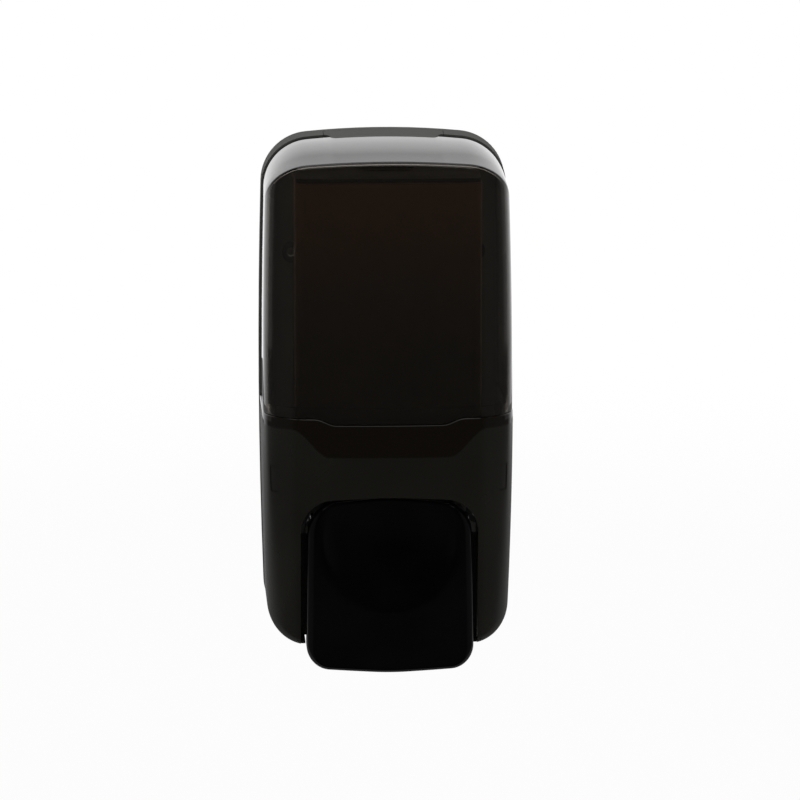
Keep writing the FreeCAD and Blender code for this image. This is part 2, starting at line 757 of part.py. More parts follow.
def pump_body():
    """Pump cylinder with its flange and the seat of the inlet valve."""
    solid = upright(cylinder_r, chamber_end, roof)
    solid = solid.fuse(upright(pump_flange_r, pump_flange_top - pump_flange, pump_flange_top))
    hollow = upright(chamber_r, chamber_end - 1.0, chamber_top).fuse(upright(seat_r, chamber_top - 1, roof + 1))
    return solid.cut(hollow)


def inlet_cage():
    """Cage that keeps the inlet ball over its seat."""
    outer = cylinder_r - 1.0
    lid = roof + cage_height - cage_wall
    ring = upright(outer, roof, roof + cage_height).cut(upright(ball_r + cage_room, roof - 1, lid))
    openings = []
    for i in range(cage_legs):
        slot = box(-0.2 * outer, 0.2 * outer, pump_depth, pump_depth + outer + 1, roof + cage_wall, lid)
        slot.rotate(V(0, -pump_depth, 0), V(0, 0, 1), 360.0 * i / cage_legs + 45.0)
        openings.append(slot)
    return ring.cut(Part.makeCompound(openings))


def inlet_ball():
    """Ball on the inlet seat."""
    rise = math.sqrt(ball_r ** 2 - seat_r ** 2) + snug
    return Part.makeSphere(ball_r, V(0, -pump_depth, roof + rise))


def pump_cap():
    """Cap over the cylinder's open end, which guides the stem."""
    cap = upright(cylinder_r + cap_wall, cap_end, chamber_end + cap_lap)
    cap = cap.cut(upright(cylinder_r + running, chamber_end, chamber_end + cap_lap + 1.0))
    return cap.cut(upright(stem_r + running, cap_end - 1.0, chamber_end + 1.0))


def pump_spring():
    """Return spring between the chamber's roof and the piston."""
    length = chamber_top - piston_top - 2 * loose
    return coil(pump_spring_r, pump_wire, length, pump_coils, (0.0, pump_depth, piston_top + loose))


def piston_stem():
    """Piston, hollow stem and the flange that the lever's fork lifts."""
    solid = upright(piston_r, piston_bottom, piston_top)
    solid = solid.multiFuse([upright(stem_r, stem_end, piston_bottom + 1.0),
                             upright(lift_flange_r, lift_bottom, lift_top)])
    groove = upright(piston_r + 1.0, groove_low, groove_low + seal_length).cut(
        upright(piston_r - groove_deep, groove_low, groove_low + seal_length))
    return solid.cut(groove).cut(upright(stem_bore, stem_end - 1.0, piston_top + 1.0))


def piston_seal():
    """Elastic ring in the piston's groove, running on the chamber's wall."""
    foot = groove_low + running
    top = groove_low + seal_length - running
    ring = upright(chamber_r - running, foot, top)
    return ring.cut(upright(piston_r - groove_deep + snug, foot - 1.0, top + 1.0))


def nozzle_tip():
    """Tapered outlet at the stem's end."""
    top = lift_bottom - loose
    sleeve = upright(stem_r + nozzle_wall, stem_end - 2.0, top)
    taper = cone(nozzle_tip_r, stem_r + nozzle_wall, stem_end - nozzle_length, stem_end - 2.0)
    tip = sleeve.fuse(taper).cut(upright(stem_r + snug, stem_end, top + 1.0))
    return tip.cut(upright(stem_bore, stem_end - nozzle_length - 1.0, stem_end + 1.0))


def outlet_valve():
    """Duckbill valve inside the nozzle."""
    top = stem_end - loose
    end = top - valve_length
    tube = upright(stem_bore - running, end, top)
    hollow = upright(0.6 * stem_bore, end + valve_floor, top + 1.0)
    slit = box(-0.5 * stem_bore, 0.5 * stem_bore, pump_depth - 0.1, pump_depth + 0.1, end - 1.0, end + valve_floor + 1.0)
    return tube.cut(hollow.fuse(slit))


# ---- lever ----
def lever_at(z):
    """Depth of the lever's front face at a height."""
    return lever_front - lever_profile + math.sqrt(lever_profile ** 2 - (z - lip_height) ** 2)


def lever_plan(z, inset):
    """Top-view outline of the lever at a height: crowned front and round edges."""
    half = lever_half_bottom + 1.0 - inset
    far = lever_at(z) - inset
    sag = half ** 2 / (2 * lever_crown)
    corners = [(-half, lever_back - 10.0, 0.0), (-half, far - sag, lever_edge), (0.0, far + sag, lever_crown * 0.9),
               (half, far - sag, lever_edge), (half, lever_back - 10.0, 0.0)]
    return rounded(corners, lambda x, d: V(x, -d, z))


def lever_solid(inset):
    """The lever without its hollow and dish, reduced by an inset."""
    foot = lever_bottom - 10.0
    rise = (lever_top + 10.0 - foot) / (loft_sections - 1)
    plan_solid = Part.makeLoft([lever_plan(foot + i * rise, inset) for i in range(loft_sections)], True, False)
    top = lever_top - inset
    bottom = lever_bottom + inset
    high_half = lever_half_top - inset
    low_half = lever_half_bottom - inset
    face = front_block([
        (-low_half, bottom + lever_bottom_bow, lever_bottom_corner - inset), (0.0, bottom, lever_bottom_bend),
        (low_half, bottom + lever_bottom_bow, lever_bottom_corner - inset),
        (high_half, top - lever_top_bow, lever_top_corner - inset), (0.0, top, lever_top_bend),
        (-high_half, top - lever_top_bow, lever_top_corner - inset)], lever_back - 5.0, beyond)
    return plan_solid.common(face)


def dish_ball(grow):
    """Ball that scoops out the round dish."""
    ball = (dish_r ** 2 + dish_deep ** 2) / (2 * dish_deep)
    lean = math.radians(dish_lean)
    offset = ball - dish_deep
    centre = V(0, -(lever_at(dish_height) + offset * math.cos(lean)), dish_height + offset * math.sin(lean))
    return Part.makeSphere(ball + grow, centre)


def push_lever():
    """Palm lever: a hollow shell with a dish, two ears on its pins and two bosses for the fork."""
    solid = lever_solid(0.0)
    back = side_block([(lever_back, high, 0.0), (lever_back, pivot_height - 2 * knuckle_r, 6.0),
                       (lever_front - lip_depth - 3.0, prong_tip, 10.0), (lever_front - lip_depth, low, 0.0),
                       (beyond, low, 0.0), (beyond, high, 0.0)], -aside, aside)
    hollow = lever_solid(lever_wall).cut(dish_ball(lever_wall))
    extend = lever_solid(lever_wall).BoundBox
    behind = box(extend.XMin, extend.XMax, lever_back - 20.0, lever_back, extend.ZMin, extend.ZMax)
    shell = solid.cut(hollow.fuse(behind)).cut(dish_ball(0.0))
    ear_in = arm_inner + arm_width + arm_gap
    ear_end = lever_at(pivot_height)
    ear = box(ear_in, lever_half_top, pivot_depth, ear_end, pivot_height - knuckle_r, pivot_height + knuckle_r)
    ear = ear.fuse(across(knuckle_r, ear_in, lever_half_top, pivot_depth, pivot_height))
    boss = forward(boss_r, fork_bar_far, lever_front, fork_screw_x, prong_tip)
    extras = solid.cut(dish_ball(0.0)).common(Part.makeCompound([ear, flip(ear), boss, flip(boss)]))
    lever = shell.fuse(extras).common(back)
    bore = across(lever_pin_r + running, ear_in - 1.0, pin_end + loose, pivot_depth, pivot_height)
    hole = forward(screw_r + snug, fork_bar_far - 1.0, fork_bar_far + fork_screw_grip + loose, fork_screw_x, prong_tip)
    return lever.cut(Part.makeCompound([bore, flip(bore), hole, flip(hole)])).removeSplitter()


def lever_pins():
    """Two pins fixed in the chassis arms, on which the lever turns."""
    return both(across(lever_pin_r, arm_inner - pin_stand, pin_end, pivot_depth, pivot_height))


def lever_fork():
    """Fork screwed to the lever, whose two round tips lift the pump's flange."""
    bar = box(-fork_half, fork_half, fork_bar_near, fork_bar_far, prong_tip - boss_r, prong_tip + prong_tip_r)
    tip = across(prong_tip_r, prong_inner, prong_inner + prong_width, pump_depth, prong_tip)
    prong = box(prong_inner, prong_inner + prong_width, pump_depth, fork_bar_near + 1.0,
                prong_tip - prong_tip_r, prong_tip + 0.3 * prong_tip_r)
    fork = bar.multiFuse([tip, prong, flip(tip), flip(prong)])
    holes = [forward(screw_r + loose, fork_bar_near - 1, fork_bar_far + 1, x, prong_tip)
             for x in (-fork_screw_x, fork_screw_x)]
    return fork.cut(Part.makeCompound(holes)).removeSplitter()


def fork_screws():
    """Two screws of the fork."""
    length = fork_bar_far - fork_bar_near + fork_screw_grip
    return Part.makeCompound([screw(x, prong_tip, fork_bar_near, length, False)
                              for x in (-fork_screw_x, fork_screw_x)])


PIECES = [back_housing, latch_tab, latch_spring, cover_window, cover_base, hinge_pins, reservoir, reservoir_lid,
          lid_gasket, chassis, chassis_screws, collar_nut, neck_gasket, pump_body, inlet_cage, inlet_ball,
          pump_cap, pump_spring, piston_stem, piston_seal, nozzle_tip, outlet_valve, push_lever, lever_pins,
          lever_fork, fork_screws]

os.makedirs("parts", exist_ok=True)
for piece in PIECES:
    shape = piece()
    print(piece.__name__, shape.ShapeType, len(shape.Solids), shape.isValid(), round(shape.Volume))
    shape.exportStep("parts/" + piece.__name__ + ".step")
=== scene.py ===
"""Looks for the wall mounted soap dispenser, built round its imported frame.

Shapes are worked out in millimetres as (x, depth from the wall, z) and become metres only in the meshes,
where a depth d lies at y = -d.
"""
import logging
import math
from collections.abc import Callable
from dataclasses import dataclass, field
from enum import Enum
from functools import cache

import bmesh
import bpy
import numpy as np
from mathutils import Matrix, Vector


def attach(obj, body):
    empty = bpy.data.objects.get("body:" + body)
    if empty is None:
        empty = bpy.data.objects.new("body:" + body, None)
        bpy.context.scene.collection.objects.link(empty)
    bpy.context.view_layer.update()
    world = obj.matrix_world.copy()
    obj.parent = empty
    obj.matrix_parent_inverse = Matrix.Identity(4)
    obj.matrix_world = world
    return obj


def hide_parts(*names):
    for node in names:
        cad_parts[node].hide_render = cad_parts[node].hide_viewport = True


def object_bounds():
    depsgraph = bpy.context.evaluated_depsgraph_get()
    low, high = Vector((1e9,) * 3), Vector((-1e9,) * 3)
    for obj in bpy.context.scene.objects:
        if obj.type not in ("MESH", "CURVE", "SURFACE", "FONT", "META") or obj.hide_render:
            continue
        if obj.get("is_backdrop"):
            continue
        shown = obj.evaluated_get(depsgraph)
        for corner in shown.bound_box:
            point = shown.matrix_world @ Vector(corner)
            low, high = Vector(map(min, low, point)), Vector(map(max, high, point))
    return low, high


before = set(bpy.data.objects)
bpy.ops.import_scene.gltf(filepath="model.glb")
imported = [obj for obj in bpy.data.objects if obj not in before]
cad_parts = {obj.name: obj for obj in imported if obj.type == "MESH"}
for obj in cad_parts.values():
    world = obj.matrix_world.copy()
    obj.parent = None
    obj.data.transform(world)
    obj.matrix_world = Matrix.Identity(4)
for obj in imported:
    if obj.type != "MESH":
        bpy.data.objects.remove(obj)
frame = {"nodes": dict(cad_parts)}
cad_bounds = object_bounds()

MM = 0.001
SIDES = (1.0, -1.0)             # right and left

Tree = bpy.types.NodeTree
Socket = bpy.types.NodeSocket

log = logging.getLogger("dispenser")


# ---- colour and nodes ----
NOISE_SPAN = (0.3, 0.7)         # nearly all of a noise's values lie between these
WHITE = (1.0, 1.0, 1.0, 1.0)


def linear(code: str) -> tuple[float, ...]:
    """Turns an sRGB hex colour to linear light.

    Args:
        code: Six hex digits.

    Returns:
        Red, green, blue and an alpha of 1.
    """
    levels = np.array([int(code[i:i + 2], 16) for i in (0, 2, 4)]) / 255.0
    value = np.where(levels <= 0.04045, levels / 12.92, ((levels + 0.055) / 1.055) ** 2.4)
    return (*value.tolist(), 1.0)


def add(tree: Tree, kind: str, settings: dict | None = None, **inputs: object) -> bpy.types.Node:
    """Adds a node, sets its properties and fills or links its inputs.

    Args:
        tree: The node tree that gets the node.
        kind: The node's type name without the word ShaderNode.
        settings: Properties of the node itself.
        inputs: Socket names with _ for a space, or at_ and the socket's number, each with a value or with an
            output socket to link.

    Returns:
        The new node.
    """
    node = tree.nodes.new("ShaderNode" + kind)
    for name, value in (settings or {}).items():
        setattr(node, name, value)
    for name, value in inputs.items():
        socket = node.inputs[int(name[3:]) if name[:3] == "at_" else name.replace("_", " ")]
        if isinstance(value, bpy.types.NodeSocket):
            tree.links.new(value, socket)
        else:
            socket.default_value = value
    return node


def calc(tree: Tree, operation: str, first: object, second: object = 0.0, kind: str = "Math") -> Socket:
    """Gives the value of a Math or VectorMath node. The second input counts only where the sum has one."""
    return add(tree, kind, {"operation": operation}, at_0=first, at_1=second).outputs["Value"]


def between(tree: Tree, socket: Socket, span: tuple[float, float], first: object = 0.0,
            last: object = 1.0) -> Socket:
    """Maps a value so that the span's ends become first and last, clamped, with soft ends."""
    return add(tree, "MapRange", {"interpolation_type": "SMOOTHSTEP"}, Value=socket, From_Min=span[0],
               From_Max=span[1], To_Min=first, To_Max=last).outputs["Result"]


def faded(tree: Tree, share: Socket, first: object, last: object) -> Socket:
    """Goes from one value to another in step with a share."""
    return add(tree, "MapRange", Value=share, To_Min=first, To_Max=last).outputs["Result"]


def blend_colours(tree: Tree, share: Socket, first: str, second: str) -> Socket:
    """Mixes two hex colours by a share.

    Args:
        tree: The node tree.
        share: 0 gives the first colour and 1 the second.
        first: Hex colour.
        second: Hex colour.

    Returns:
        The mixed colour's socket.
    """
    ramp = add(tree, "ValToRGB", Fac=share)
    ramp.color_ramp.elements[0].color = linear(first)
    ramp.color_ramp.elements[1].color = linear(second)
    return ramp.outputs["Color"]


def tinted(tree: Tree, share: Socket, colour: Socket, tint: str) -> Socket:
    """Mixes a hex colour into another colour by a share."""
    return add(tree, "Mix", {"data_type": "RGBA"}, at_0=share, at_6=colour, at_7=linear(tint)).outputs[2]


def mix_shaders(tree: Tree, share: Socket, first: bpy.types.Node, second: bpy.types.Node) -> Socket:
    """Mixes the shaders that two nodes give first among their outputs."""
    mix = add(tree, "MixShader", at_0=share, at_1=first.outputs[0], at_2=second.outputs[0])
    return mix.outputs["Shader"]


def place_of(tree: Tree) -> Socket:
    """Gives Object coordinates, which are metres in the part's own frame."""
    return add(tree, "TexCoord").outputs["Object"]


def axis_of(tree: Tree, vector: Socket, axis: str) -> Socket:
    """Gives one of the three parts of a vector."""
    return add(tree, "SeparateXYZ", Vector=vector).outputs[axis]


def noise(tree: Tree, size_mm: float, detail: float) -> Socket:
    """Gives noise around 0.5 whose patches have a real size: its scale is that size's inverse in metres."""
    place, scale = place_of(tree), 1.0 / (size_mm * MM)
    return add(tree, "TexNoise", Vector=place, Scale=scale, Detail=detail).outputs["Fac"]


def bump(tree: Tree, height: Socket, depth_mm: float, strength: object = 1.0) -> Socket:
    """Gives the normal of a surface that is raised and sunk by a height of a real depth."""
    return add(tree, "Bump", Height=height, Distance=depth_mm * MM, Strength=strength).outputs["Normal"]


def emptied(owner: bpy.types.Material | bpy.types.World) -> Tree:
    """Takes away the nodes that a material or world starts with.

    Args:
        owner: The material or world.

    Returns:
        Its empty node tree.
    """
    owner.use_nodes = True
    owner.node_tree.nodes.clear()
    return owner.node_tree


def new_material(name: str, shader: Callable[[Tree], Socket]) -> bpy.types.Material:
    """Makes a material.

    Args:
        name: The material's name.
        shader: Adds the surface's nodes to a tree and gives the surface's socket.

    Returns:
        The material.
    """
    material = bpy.data.materials.new(name)
    tree = emptied(material)
    add(tree, "OutputMaterial", Surface=shader(tree))
    return material


# ---- finishes ----
@dataclass(frozen=True)
class Moulded:
    """An opaque surface with slow variation in colour and gloss and a fine bump, all from sized noise."""

    name: str
    colour: str
    shade: str                  # the colour it drifts to
    drift_mm: float             # size of the colour patches
    roughness: float
    roughness_spread: float
    grain_mm: float             # size of the surface texture
    grain_depth_mm: float
    ior: float = 1.5
    metallic: float = 0.0
    scatter: float = 0.0        # share of light that travels under the surface
    scatter_mm: float = 1.5
    scatter_reach: tuple[float, float, float] = (1.0, 0.9, 0.8)

    def tint(self, tree: Tree, colour: Socket) -> Socket:
        """Leaves the colour as it is. A finish whose colour changes over the piece does it here."""
        return colour

    def drift(self, tree: Tree) -> tuple[Socket, Socket]:
        """Makes the slow variation.

        Args:
            tree: The node tree.

        Returns:
            The colour's and the roughness's sockets.
        """
        slow = noise(tree, self.drift_mm, detail=2.0)
        colour = blend_colours(tree, between(tree, slow, NOISE_SPAN), self.colour, self.shade)
        return colour, between(tree, slow, NOISE_SPAN, self.roughness - self.roughness_spread,
                               self.roughness + self.roughness_spread)

    def grain(self, tree: Tree, strength: object = 1.0) -> Socket:
        """Gives the normal of the surface texture."""
        return bump(tree, noise(tree, self.grain_mm, detail=3.0), self.grain_depth_mm, strength)

    def shader(self, tree: Tree) -> Socket:
        """Makes the surface shader.

        Args:
            tree: The node tree.

        Returns:
            The shader's socket.
        """
        colour, rough = self.drift(tree)
        body = add(tree, "BsdfPrincipled", Base_Color=self.tint(tree, colour), Roughness=rough,
                   Metallic=self.metallic, Normal=self.grain(tree))
        if not self.metallic:
            body.inputs["IOR"].default_value = self.ior
        if self.scatter:
            body.inputs["Subsurface Weight"].default_value = self.scatter
            body.inputs["Subsurface Scale"].default_value = self.scatter_mm * MM
            body.inputs["Subsurface Radius"].default_value = self.scatter_reach
        return body.outputs["BSDF"]


@dataclass(frozen=True)
class PolishedSmoke:
    """Smoke polycarbonate from a polished tool: clear, dark and mirror smooth, with faint flow waves."""

    name: str
    tint: str                   # what a wall lets through
    slant_tint: str             # what it lets through at a slant, where the way through it is longer
    slant: tuple[float, float] = (0.15, 0.65)
    roughness: float = 0.03
    dull_mm: float = 9.0        # size of the patches that shine less
    dull_span: tuple[float, float] = (0.35, 0.7)
    dull_range: tuple[float, float] = (0.6, 1.6)
    haze: float = 0.006         # share of light that the pigment scatters
    wave_mm: float = 38.0
    wave_depth_mm: float = 0.012
    ior: float = 1.585
    face_share: float = 0.1     # share of the tint's depth that one face gives to a lamp's light

    def shader(self, tree: Tree) -> Socket:
        """Makes the surface shader. Lamps shine through a clear one, tinted a little by each face of a wall.

        Args:
            tree: The node tree.

        Returns:
            The shader's socket.
        """
        low, high = (self.roughness * share for share in self.dull_range)
        rough = between(tree, noise(tree, self.dull_mm, detail=3.0), self.dull_span, low, high)
        facing = add(tree, "LayerWeight", Blend=0.5).outputs["Facing"]
        colour = blend_colours(tree, between(tree, facing, self.slant), self.tint, self.slant_tint)
        glass = add(tree, "BsdfPrincipled", Base_Color=colour, Roughness=rough, IOR=self.ior,
                    Transmission_Weight=1.0 - self.haze,
                    Normal=bump(tree, noise(tree, self.wave_mm, detail=1.0), self.wave_depth_mm))
        clear = add(tree, "BsdfTransparent", Color=[level ** self.face_share for level in linear(self.tint)])
        return mix_shaders(tree, add(tree, "LightPath").outputs["Is Shadow Ray"], glass, clear)


@dataclass(frozen=True)
class SatinSmoke(Moulded):
    """Smoke polycarbonate, spark-eroded to a fine satin except for a polished strip under the seam.

    The strip's lower edge is level at both sides and drops in the middle, like a flat-bottomed cup.
    """

    polished: str = "110d08"    # the strip's colour: polish shows the depth of the brown
    polished_roughness: float = 0.06
    polished_grain: float = 0.05
    strip_z: float = -10.5
    cup_z: float = -26.0
    cup_half: float = 33.0
    cup_shoulder: float = 54.0
    edge_mm: float = 0.6

    def shader(self, tree: Tree) -> Socket:
        """Makes the surface shader, with the polished strip by height and width.

        Args:
            tree: The node tree.

        Returns:
            The shader's socket.
        """
        place = place_of(tree)
        across = calc(tree, "ABSOLUTE", axis_of(tree, place, "X"))
        edge = between(tree, across, (self.cup_half * MM, self.cup_shoulder * MM), self.cup_z * MM,
                       self.strip_z * MM)
        over = calc(tree, "SUBTRACT", axis_of(tree, place, "Z"), edge)
        polished = between(tree, over, (-self.edge_mm * MM, self.edge_mm * MM))
        dull, rough = self.drift(tree)
        body = add(tree, "BsdfPrincipled", Base_Color=tinted(tree, polished, dull, self.polished),
                   Roughness=faded(tree, polished, rough, self.polished_roughness), IOR=self.ior,
                   Normal=self.grain(tree, faded(tree, polished, 1.0, self.polished_grain)))
        return body.outputs["BSDF"]


@dataclass(frozen=True)
class TrayAbs(Moulded):
    """Spark-eroded ABS whose floor inside the rim is painted paler: painted light for the dim inside of the
    housing.
    """

    # painted light: the paler colour of the floor inside the rim
    floor_painted_light: str = "7e7f79"
    floor_depth: float = 3.0
    floor_off: tuple[float, float] = (0.2, 0.6)         # mm off the floor's depth over which its colour fades
    floor_facing: tuple[float, float] = (-0.95, -0.7)   # the normal's y over which it fades

    def tint(self, tree: Tree, colour: Socket) -> Socket:
        """Pales the colour on the floor, which faces forward at one depth from the wall: a painted light.

        Args:
            tree: The node tree.
            colour: The colour of the rest.

        Returns:
            The changed colour's socket.
        """
        depth = axis_of(tree, place_of(tree), "Y")
        off = calc(tree, "ABSOLUTE", calc(tree, "ADD", depth, self.floor_depth * MM))
        level = between(tree, off, (self.floor_off[0] * MM, self.floor_off[1] * MM), 1.0, 0.0)
        normal = add(tree, "TexCoord").outputs["Normal"]
        share = between(tree, axis_of(tree, normal, "Y"), self.floor_facing, level, 0.0)
        return tinted(tree, share, colour, self.floor_painted_light)


@dataclass(frozen=True)
class BlownTank(Moulded):
    """Blow-moulded polyethylene, painted lighter towards the top: painted light for the light that comes in
    through the cover's top.
    """

    top_painted_light: str = "5b412c"        # painted light: the colour at the top, where more light comes in
    # heights over which the painted light fades in
    painted_light_low_z: float = 25.0
    painted_light_high_z: float = 135.0

    def tint(self, tree: Tree, colour: Socket) -> Socket:
        """Fades the colour to the painted light's colour from the bottom up: painted light, lighter towards
        the top.
        """
        share = between(tree, axis_of(tree, place_of(tree), "Z"), (self.painted_light_low_z * MM, self.painted_light_high_z * MM))
        return tinted(tree, share, colour, self.top_painted_light)


class Finish(Enum):
    """The finishes of the dispenser, each named for its material and how its surface was made."""

    # Spark-eroded charcoal ABS: an even fine grit that scatters light, so it looks grey and never mirrors;
    # the floor inside its rim is painted paler as painted light.
    TEXTURED_ABS = TrayAbs("spark_eroded_abs", "454642", "4c4d48", 60.0, 0.72, 0.05, 0.75, 0.11, 1.53)
    # Polished smoke polycarbonate: mirrors the room on top and shows the tank through its dark brown tint.
    SMOKE_WINDOW = PolishedSmoke("polished_smoke_polycarbonate", "b0a79b", "0a0908")
    # Satin smoke polycarbonate over a dark back: nearly black, with a soft sheen at its edges.
    SMOKE_SATIN = SatinSmoke("satin_smoke_polycarbonate", "181712", "1b1a14", 45.0, 0.25, 0.03, 0.5, 0.012,
                             1.585)
    # Polished black ABS: deep black that only shows as highlights along its edges.
    POLISHED_ABS = Moulded("polished_black_abs", "030303", "050505", 30.0, 0.07, 0.02, 14.0, 0.008, 1.53)
    # Blow-moulded polyethylene: waxy brown-black with soft, slightly wavy walls, painted lighter towards the
    # top as painted light.
    BLOWN_TANK = BlownTank("blow_moulded_polyethylene", "1e170d", "1a130a", 40.0, 0.34, 0.06, 9.0, 0.05, 1.51)
    # Moulded black polypropylene: plain, a little waxy.
    BLACK_PP = Moulded("moulded_black_polypropylene", "1d1d1c", "252524", 25.0, 0.46, 0.06, 1.2, 0.03, 1.49)
    # Glass-filled nylon: dull black with a faint grey bloom of fibres.
    GLASS_NYLON = Moulded("glass_filled_nylon", "1b1b1c", "272728", 8.0, 0.56, 0.08, 0.8, 0.06, 1.53)
    # Moulded white polypropylene: off-white, waxy, lets a little light in.
    WHITE_PP = Moulded("moulded_white_polypropylene", "cfcfca", "c2c2bb", 20.0, 0.38, 0.05, 1.5, 0.02, 1.49,
                       scatter=0.15)
    # Natural polypropylene: milky and slightly yellow, lets more light in.
    NATURAL_PP = Moulded("natural_polypropylene", "c6c4b8", "b5b3a6", 16.0, 0.34, 0.05, 1.5, 0.02, 1.49,
                         scatter=0.3)
    # Zinc-plated steel: bright grey with cloudy patches of plating.
    ZINC_STEEL = Moulded("zinc_plated_steel", "b9bcc0", "a3a7ad", 2.5, 0.32, 0.08, 0.3, 0.004, metallic=1.0)
    # Ground stainless steel: fine grinding marks, bright.
    GROUND_STEEL = Moulded("ground_stainless_steel", "c4c4c2", "b2b2b0", 4.0, 0.22, 0.05, 0.2, 0.003,
                           metallic=1.0)
    # Drawn spring wire: smooth, darker, with lengthwise drawing haze.
    SPRING_STEEL = Moulded("drawn_spring_wire", "a9a9a7", "929290", 3.0, 0.28, 0.06, 0.25, 0.003,
                           metallic=1.0)
    # Moulded rubber: matte black with a grey bloom.
    RUBBER = Moulded("moulded_rubber", "161616", "202020", 6.0, 0.72, 0.08, 0.6, 0.02, 1.52)
    # Translucent silicone: cloudy white, soft looking.
    SILICONE = Moulded("translucent_silicone", "c9c8c2", "b9b8b1", 4.0, 0.40, 0.06, 0.8, 0.01, 1.41,
                       scatter=0.4)


@cache
def material_of(finish: Finish) -> bpy.types.Material:
    """Gives a finish's material, made once."""
    return new_material(finish.value.name, finish.value.shader)


# ---- meshes ----
@dataclass
class Shell:
    """Grids of points that together close into one piece, in millimetres as (x, depth, z)."""

    points: list[np.ndarray] = field(default_factory=list)
    quads: list[np.ndarray] = field(default_factory=list)
    count: int = 0

    def grid(self, surface: np.ndarray) -> None:
        """Adds a surface.

        Args:
            surface: Array (rows, columns, 3) of points.
        """
        rows, columns = surface.shape[:2]
        index = np.arange(rows * columns).reshape(rows, columns) + self.count
        corners = [index[:-1, :-1], index[1:, :-1], index[1:, 1:], index[:-1, 1:]]
        self.quads.append(np.stack(corners, -1).reshape(-1, 4))
        self.points.append(surface.reshape(-1, 3))
        self.count += rows * columns

    def strip(self, first: np.ndarray, second: np.ndarray) -> None:
        """Joins two lines of points that run alongside each other."""
        self.grid(np.stack([first, second]))

    def mesh(self, weld_mm: float = 0.002) -> bpy.types.Mesh:
        """Welds the grids and turns the faces outwards.

        Points that round to the same multiple of weld_mm become one, and triangles that collapse are dropped.

        Args:
            weld_mm: Points nearer than about this are one point.

        Returns:
            A closed mesh in metres.
        """
        every = np.concatenate(self.points)
        _, first, place = np.unique(np.round(every / weld_mm).astype(np.int64), axis=0, return_index=True,
                                    return_inverse=True)
        corners = place.reshape(-1)[np.concatenate(self.quads)]
        triangles = np.concatenate([corners[:, [0, 1, 2]], corners[:, [0, 2, 3]]])
        a, b, c = triangles.T
        triangles = triangles[(a != b) & (b != c) & (c != a)]
        at = every[first] * MM
        mesh = bpy.data.meshes.new("shell")
        mesh.from_pydata(np.column_stack([at[:, 0], -at[:, 1], at[:, 2]]).tolist(), [], triangles.tolist())
        work = bmesh.new()
        work.from_mesh(mesh)
        bmesh.ops.recalc_face_normals(work, faces=work.faces)
        work.to_mesh(mesh)
        work.free()
        return mesh


def double_wall(outer: np.ndarray, inner: np.ndarray, open_ends: bool) -> bpy.types.Mesh:
    """Joins two sheets along their first rows, and along their end columns where those are open.

    Args:
        outer: The outer sheet's grid.
        inner: The inner sheet's grid.
        open_ends: Whether the end columns are open.

    Returns:
        The closed mesh.
    """
    shell = Shell()
    edges = [np.s_[0], np.s_[:, 0], np.s_[:, -1]][:3 if open_ends else 1]
    for surface in (outer, inner, *(np.stack([outer[edge], inner[edge]]) for edge in edges)):
        shell.grid(surface)
    return shell.mesh()


def closed_section(section: np.ndarray) -> np.ndarray:
    """Repeats the first column after the last, so that a tube's section closes."""
    return np.concatenate([section, section[:, :1]], axis=1)


def capped(section: np.ndarray) -> Shell:
    """Closes a stack of convex sections into a solid, with both ends filled by a fan to their middle.

    Args:
        section: Rows of points, each row a closed loop without its repeated end.

    Returns:
        The closed shell.
    """
    shell = Shell()
    loops = closed_section(section)
    shell.grid(loops)
    for end in (loops[0], loops[-1]):
        shell.strip(end, np.broadcast_to(end[:-1].mean(0), end.shape))
    return shell


def prism(loop: np.ndarray, ends: tuple[float, float], axis: int) -> Shell:
    """Carries a loop of points (n, 2) between two ends on an axis: 0 for x, 1 for depth and 2 for z."""
    return capped(np.stack([np.insert(loop, axis, end, axis=1) for end in ends]))


def block(x: tuple[float, float], depth: tuple[float, float], z: tuple[float, float]) -> Shell:
    """Makes a block from its two ends along each axis."""
    return prism(np.array([[x[0], depth[0]], [x[0], depth[1]], [x[1], depth[1]], [x[1], depth[0]]]), z, 2)


def span(side: float, inner: float, outer: float) -> tuple[float, float]:
    """Gives the two ends of a stretch of width on one side of the middle, the lower one first."""
    return min(side * inner, side * outer), max(side * inner, side * outer)


def circle(centre: tuple[float, float], radius: float, degrees: np.ndarray) -> np.ndarray:
    """Gives the points (n, 2) of a circle at some angles."""
    turn = np.radians(degrees)
    return np.column_stack([centre[0] + radius * np.cos(turn), centre[1] + radius * np.sin(turn)])


